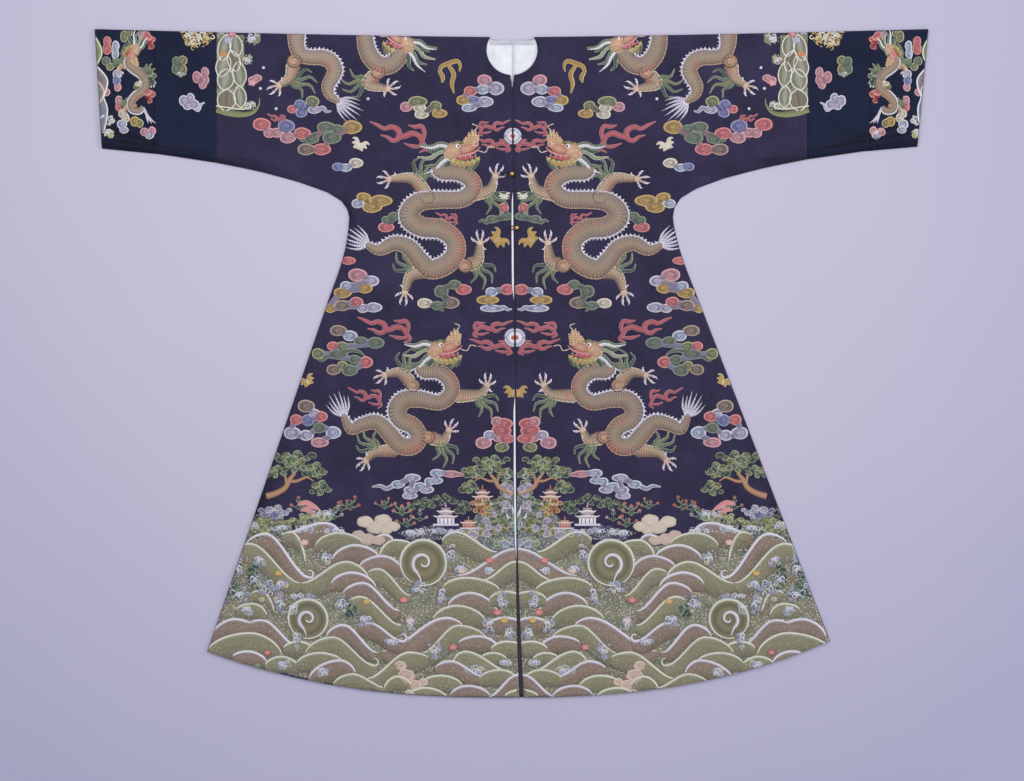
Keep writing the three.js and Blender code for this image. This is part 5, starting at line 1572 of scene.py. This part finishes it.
# %% Helpers for finishes
class Finish:
    """A material and short ways to add nodes to it."""

    def __init__(self, name, roughness=0.7, metallic=0.0, sheen=0.0, specular=0.5):
        self.material = bpy.data.materials.new(name)
        self.material.use_nodes = True
        self.tree = self.material.node_tree
        self.shader = self.tree.nodes["Principled BSDF"]
        self.shader.inputs["Roughness"].default_value = roughness
        self.shader.inputs["Metallic"].default_value = metallic
        self.shader.inputs["Sheen Weight"].default_value = sheen
        self.shader.inputs["Sheen Roughness"].default_value = 0.5
        self.shader.inputs["Specular IOR Level"].default_value = specular
        self.place = self.add("ShaderNodeTexCoord").outputs["Object"]

    def add(self, kind, links=None, values=None, **settings):
        node = self.tree.nodes.new(kind)
        for key, value in settings.items():
            setattr(node, key, value)
        for key, value in (values or {}).items():
            node.inputs[key].default_value = value
        for key, socket in (links or {}).items():
            self.tree.links.new(socket, node.inputs[key])
        return node

    def noise(self, scale, detail=2.0, rough=0.5):
        return self.add("ShaderNodeTexNoise", {"Vector": self.place},
                        {"Scale": scale, "Detail": detail, "Roughness": rough}).outputs["Fac"]

    def wave(self, scale, direction):
        return self.add("ShaderNodeTexWave", {"Vector": self.place},
                        {"Scale": scale, "Distortion": 0.0, "Detail": 0.0},
                        bands_direction=direction).outputs["Fac"]

    def math(self, operation, a, b):
        node = self.add("ShaderNodeMath", operation=operation)
        for socket, value in zip(node.inputs, (a, b)):
            if isinstance(value, (int, float)):
                socket.default_value = value
            else:
                self.tree.links.new(value, socket)
        return node.outputs[0]

    def ramp(self, fac, stops):
        """Colour ramp through (place, colour) stops."""
        node = self.add("ShaderNodeValToRGB", {"Fac": fac})
        elements = node.color_ramp.elements
        while len(elements) < len(stops):
            elements.new(0.5)
        for element, (at, colour) in zip(elements, stops):
            element.position = at
            element.color = (*colour, 1.0)
        return node.outputs["Color"]

    def blend(self, kind, fac, a, b):
        node = self.add("ShaderNodeMix", data_type="RGBA", blend_type=kind)
        for key, value in ((0, fac), (6, a), (7, b)):
            if isinstance(value, (int, float)):
                node.inputs[key].default_value = value
            elif isinstance(value, tuple):
                node.inputs[key].default_value = (*value, 1.0)
            else:
                self.tree.links.new(value, node.inputs[key])
        return node.outputs[2]

    def finish(self, colour, height, distance, strength=1.0):
        """Joins colour and bump to the shader. distance is the bump's depth in millimetres."""
        bump = self.add("ShaderNodeBump", {"Height": height},
                        {"Distance": distance * MM, "Strength": strength})
        self.tree.links.new(colour, self.shader.inputs["Base Color"])
        self.tree.links.new(bump.outputs["Normal"], self.shader.inputs["Normal"])
        return self.material


def weave(finish, coarse):
    """Over-and-under of a plain weave: two bands at right angles, the higher one showing. Its threads are
    farther apart the higher the coarse value."""
    scale = 0.5 / (coarse * MM)
    return finish.math("MAXIMUM", finish.wave(scale, "X"), finish.wave(scale, "Y"))


# %% Ground silks
def silk(name, dark, light, figure, roughness, sheen):
    """Damask silk: scattered ring figures a shade lighter than the ground, on a slow drift of colour. It has
    painted shade down a crease and a painted highlight on its ridge, and a painted shadow along a sleeve's
    lower edge."""
    f = Finish(name, roughness=roughness, sheen=sheen, specular=0.2)
    drift = f.noise(9.0, 6.0, 0.68)
    base = f.ramp(drift, [(0.3, linear(dark)), (0.7, linear(light))])
    rings = f.add("ShaderNodeTexVoronoi", {"Vector": f.place}, {"Scale": 26.0, "Randomness": 0.35},
                  feature="F1").outputs["Distance"]
    ringed = f.math("SINE", f.math("MULTIPLY", rings, 30.0), 0.0)
    figured = f.math("MULTIPLY", f.math("GREATER_THAN", ringed, 0.35), figure)
    colour = f.blend("ADD", figured, base, (0.05, 0.045, 0.07))
    # painted shade and highlight of the creases and painted shadow of the sleeve edge, stored on the points
    crease = f.add("ShaderNodeAttribute", attribute_name="crease").outputs["Fac"]
    painted_shading = f.ramp(crease, [(0.15, (0.25, 0.25, 0.25)), (0.5, (1.0, 1.0, 1.0)), (0.85, (1.3, 1.3, 1.35))])
    colour = f.blend("MULTIPLY", 1.0, colour, painted_shading)
    slub = f.noise(900.0, 2.0)
    colour = f.blend("MULTIPLY", 0.35, colour,
                     f.ramp(slub, [(0.3, (0.6, 0.6, 0.6)), (0.7, (1.25, 1.25, 1.25))]))
    height = f.math("ADD", weave(f, 0.5), f.math("MULTIPLY", slub, 0.6))
    return f.finish(colour, height, 0.05, 0.6)


finishes = {
    "outer": silk("purple_silk", (33, 32, 56), (55, 47, 80), 0.08, 0.78, 0.03),
    "sleeve": silk("blue_black_silk", (8, 17, 42), (20, 29, 62), 0.04, 0.7, 0.03),
}


# %% Lining silk, underlap, cord and gilt metal
def pale_silk(name, low, high):
    """Thin tabby silk: nearly white, with a faint grey cloudiness and a fine weave."""
    f = Finish(name, roughness=0.6, sheen=0.25, specular=0.4)
    cloud = f.noise(45.0, 5.0, 0.65)
    colour = f.ramp(cloud, [(0.3, linear(low)), (0.7, linear(high))])
    height = f.math("ADD", weave(f, 0.45), f.noise(700.0, 2.0))
    return f.finish(colour, height, 0.05, 0.5)


def dark_cord(name):
    f = Finish(name, roughness=0.75, sheen=0.2)
    colour = f.ramp(f.noise(400.0, 3.0), [(0.3, linear((24, 21, 34))), (0.75, linear((58, 50, 74)))])
    return f.finish(colour, f.noise(2500.0, 2.0), 0.08, 0.7)


def gilt(name):
    f = Finish(name, roughness=0.32, metallic=1.0)
    colour = f.ramp(f.noise(350.0, 3.0), [(0.25, linear((150, 112, 50))), (0.7, linear((236, 200, 118)))])
    chased = f.math("SINE", f.math("MULTIPLY", f.noise(420.0, 0.0), 60.0), 0.0)
    return f.finish(colour, chased, 0.06, 0.4)


finishes["lining"] = pale_silk("pale_lining_silk", (212, 216, 226), (240, 242, 248))
finishes["facing"] = pale_silk("facing_silk", (176, 178, 194), (212, 212, 222))
finishes["lap"] = dark_cord("underlap_silk")
finishes["cord"] = dark_cord("twisted_cord")
finishes["gilt"] = gilt("gilt_brass")

# %% Floss and gold thread
STITCH, BEAD = 3.4, 5.0


def floss(name):
    """Silk floss in its own stored colour, with fine lines of stitches across the patch. Between the lines it
    is darker, a painted shade of their grooves, and so a narrow cord has painted shade at its sides. Seed
    knots, the cells of a fine Voronoi, show on it to the share kept in the stored colour's alpha."""
    f = Finish(name, roughness=0.5, sheen=0.1, specular=0.4)
    stored = f.add("ShaderNodeAttribute", attribute_name="floss").outputs["Color"]
    thread = f.add("ShaderNodeUVMap", uv_map="thread").outputs["UV"]
    grain = f.noise(1100.0, 2.0)
    across = f.math("MULTIPLY", f.add("ShaderNodeSeparateXYZ", {"Vector": thread}).outputs["Y"],
                    THREAD_UNIT * 2 * math.pi / STITCH)
    lines = f.math("MULTIPLY", f.math("ADD", f.math("COSINE", across, 0.0), 1.0), 0.5)
    tone = f.ramp(grain, [(0.25, (0.72, 0.72, 0.72)), (0.75, (1.2, 1.2, 1.2))])
    colour = f.blend("MULTIPLY", 0.7, stored, tone)
    # painted shade between the rows of stitches and on a cord's sides, a slight painted highlight on their
    # crowns
    colour = f.blend("MULTIPLY", 0.8, colour,
                     f.ramp(lines, [(0.1, (0.66, 0.66, 0.68)), (0.8, (1.12, 1.12, 1.1))]))
    dots = f.add("ShaderNodeTexVoronoi", {"Vector": f.place}, {"Scale": 235.0}, feature="F1").outputs
    dot = f.ramp(dots["Distance"], [(0.26, (1, 1, 1)), (0.4, (0, 0, 0))])
    hues = [(0.15, linear((120, 128, 84))), (0.35, linear((214, 206, 184))),
            (0.55, linear((150, 162, 190))), (0.75, linear((200, 196, 160))),
            (0.92, linear((196, 132, 124)))]
    shown = f.math("MULTIPLY", dot, f.tree.nodes["Attribute"].outputs["Alpha"])
    colour = f.blend("MIX", shown, colour, f.ramp(dots["Color"], hues))
    height = f.math("ADD", f.math("ADD", lines, shown), f.math("MULTIPLY", grain, 0.6))
    return f.finish(colour, height, 0.14, 0.6)


def scaled_gold(name):
    """Gold-thread scales: rows of round beads 5 mm apart, each row moved half a bead on, dark between. Each
    bead has a painted highlight in its middle and painted shade towards its rim and in the gaps.
    """
    f = Finish(name, roughness=0.45, specular=0.5, metallic=0.2)
    stored = f.add("ShaderNodeAttribute", attribute_name="floss").outputs["Color"]
    thread = f.add("ShaderNodeUVMap", uv_map="thread").outputs["UV"]
    split = f.add("ShaderNodeSeparateXYZ", {"Vector": thread})
    along = f.math("MULTIPLY", split.outputs["X"], THREAD_UNIT / BEAD)
    across = f.math("MULTIPLY", split.outputs["Y"], THREAD_UNIT / BEAD)
    row = f.math("FLOOR", along, 0.0)
    shifted = f.math("ADD", across, f.math("MULTIPLY", f.math("MODULO", row, 2.0), 0.5))
    x = f.math("SUBTRACT", f.math("FRACT", shifted, 0.0), 0.5)
    y = f.math("SUBTRACT", f.math("FRACT", along, 0.0), 0.5)
    far = f.math("SQRT", f.math("ADD", f.math("MULTIPLY", x, x), f.math("MULTIPLY", y, y)), 0.0)
    # painted highlight in each bead's middle, painted shade at its rim and in the gaps
    scale = f.ramp(far, [(0.0, (1.2, 1.2, 1.2)), (0.3, (1.05, 1.05, 1.05)), (0.56, (0.42, 0.4, 0.44))])
    grain = f.noise(1300.0, 2.0)
    colour = f.blend("MULTIPLY", 0.8, stored, scale)
    colour = f.blend("MULTIPLY", 0.5, colour,
                     f.ramp(grain, [(0.25, (0.7, 0.7, 0.7)), (0.75, (1.25, 1.25, 1.25))]))
    return f.finish(colour, f.math("ADD", f.math("MULTIPLY", far, -1.0), f.math("MULTIPLY", grain, 0.4)),
                    0.25, 0.6)


finishes["floss"] = floss("silk_floss")
finishes["scales"] = scaled_gold("couched_gold_thread")
for kind, piece in work_pieces.items():
    piece.data.materials.append(finishes["scales" if kind == "dragons" else "floss"])

SLOTS = {"body_": ("outer", "outer_silk"), "lining_edge": ("lining", "lining_silk"),
         "lining_": ("lining", "lining_silk"), "sleeve_band": ("sleeve", "sleeve_silk"),
         "cuff_": ("sleeve", "outer_silk"), "neck_": ("facing", "lining_silk"),
         "front_underlap": ("lap", "sleeve_silk"), "button_": ("gilt", "gilt_metal"),
         "loop_": ("cord", "cord")}
for node, piece in cloth.items():
    finish, slot = next(pair for start, pair in SLOTS.items() if node.startswith(start))
    piece.data.materials.append(finishes[finish])
print("finishes:", sorted(finishes))

# %% [markdown]
# ## Cloth facts
# A loom width folded over the shoulder is twice as long as it lies. The width of each body length at its
# hem is read from its side edge.


for side, hand in ((LEFT, "left"), (RIGHT, "right")):
    wide = float(EDGE[side][0, 0]) * MM

# %% [markdown]
# ## Floor, light and camera
# The coat lies on lilac-grey paper under soft, even light that is a little stronger from the right, so its
# left edges have a faint soft shadow. The camera looks straight down.


# %% Floor
def paper(name):
    """Paper with a painted pool of light: palest a little above the coat's middle and, as painted falloff,
    greyer away from it, most of all to the lower right: a ball gradient about that place, two metres in
    radius."""
    f = Finish(name, roughness=0.9, specular=0.2)
    moved = f.add("ShaderNodeMapping", {"Vector": f.place},
                  {"Location": (0.05, -0.22, 0.0), "Scale": (0.5, 0.52, 0.0)})
    # painted pool of light on the paper, and its painted falloff
    ball = f.add("ShaderNodeTexGradient", {"Vector": moved.outputs["Vector"]},
                 gradient_type="SPHERICAL").outputs["Fac"]
    near = f.math("ADD", ball, f.math("MULTIPLY", f.noise(1.6, 3.0), 0.12))
    tone = f.ramp(near, [(0.25, linear((176, 174, 202))), (0.62, linear((194, 190, 212))),
                         (1.0, linear((204, 198, 219)))])
    return f.finish(tone, f.noise(500.0, 3.0), 0.05, 0.3)


FLOOR_HALF = 2600.0
corner = np.array([(-1, -1), (1, -1), (1, 1), (-1, 1)]) * FLOOR_HALF
floor_places = np.concatenate([corner, np.full((4, 1), -0.25)], 1)
floor = new_piece("paper_floor", floor_places, np.array([[0, 1, 2, 3]]))
floor.data.materials.append(paper("lilac_paper"))
floor.parent = None

# %% Light
world = bpy.data.worlds.new("soft_room")
world.use_nodes = True
world.node_tree.nodes["Background"].inputs["Color"].default_value = (0.96, 0.97, 1.0, 1.0)
world.node_tree.nodes["Background"].inputs["Strength"].default_value = 0.64
bpy.context.scene.world = world
for name, spot, size, power in (("right_softbox", (6.4, 1.0, 2.8), 2.2, 150.0),
        ("top_softbox", (-0.6, 1.8, 3.2), 2.4, 44.0)):
    lamp = bpy.data.lights.new(name, "AREA")
    lamp.size = size
    lamp.energy = power
    holder = bpy.data.objects.new(name, lamp)
    holder.location = spot
    holder.rotation_euler = (-Vector(spot)).to_track_quat("-Z", "Y").to_euler()
    bpy.context.scene.collection.objects.link(holder)

# %% Camera
FRAME_WIDTH, CAMERA_HEIGHT, SENSOR = 2.171, 7.24, 36.0
lens = bpy.data.cameras.new("overhead")
lens.sensor_width = SENSOR
lens.lens = SENSOR * CAMERA_HEIGHT / FRAME_WIDTH
camera = bpy.data.objects.new("overhead", lens)
camera.location = (0.001, -0.058, CAMERA_HEIGHT)
bpy.context.scene.collection.objects.link(camera)
bpy.context.scene.camera = camera
bpy.context.scene.view_settings.view_transform = "Standard"
print("lens", round(lens.lens, 1), "mm")
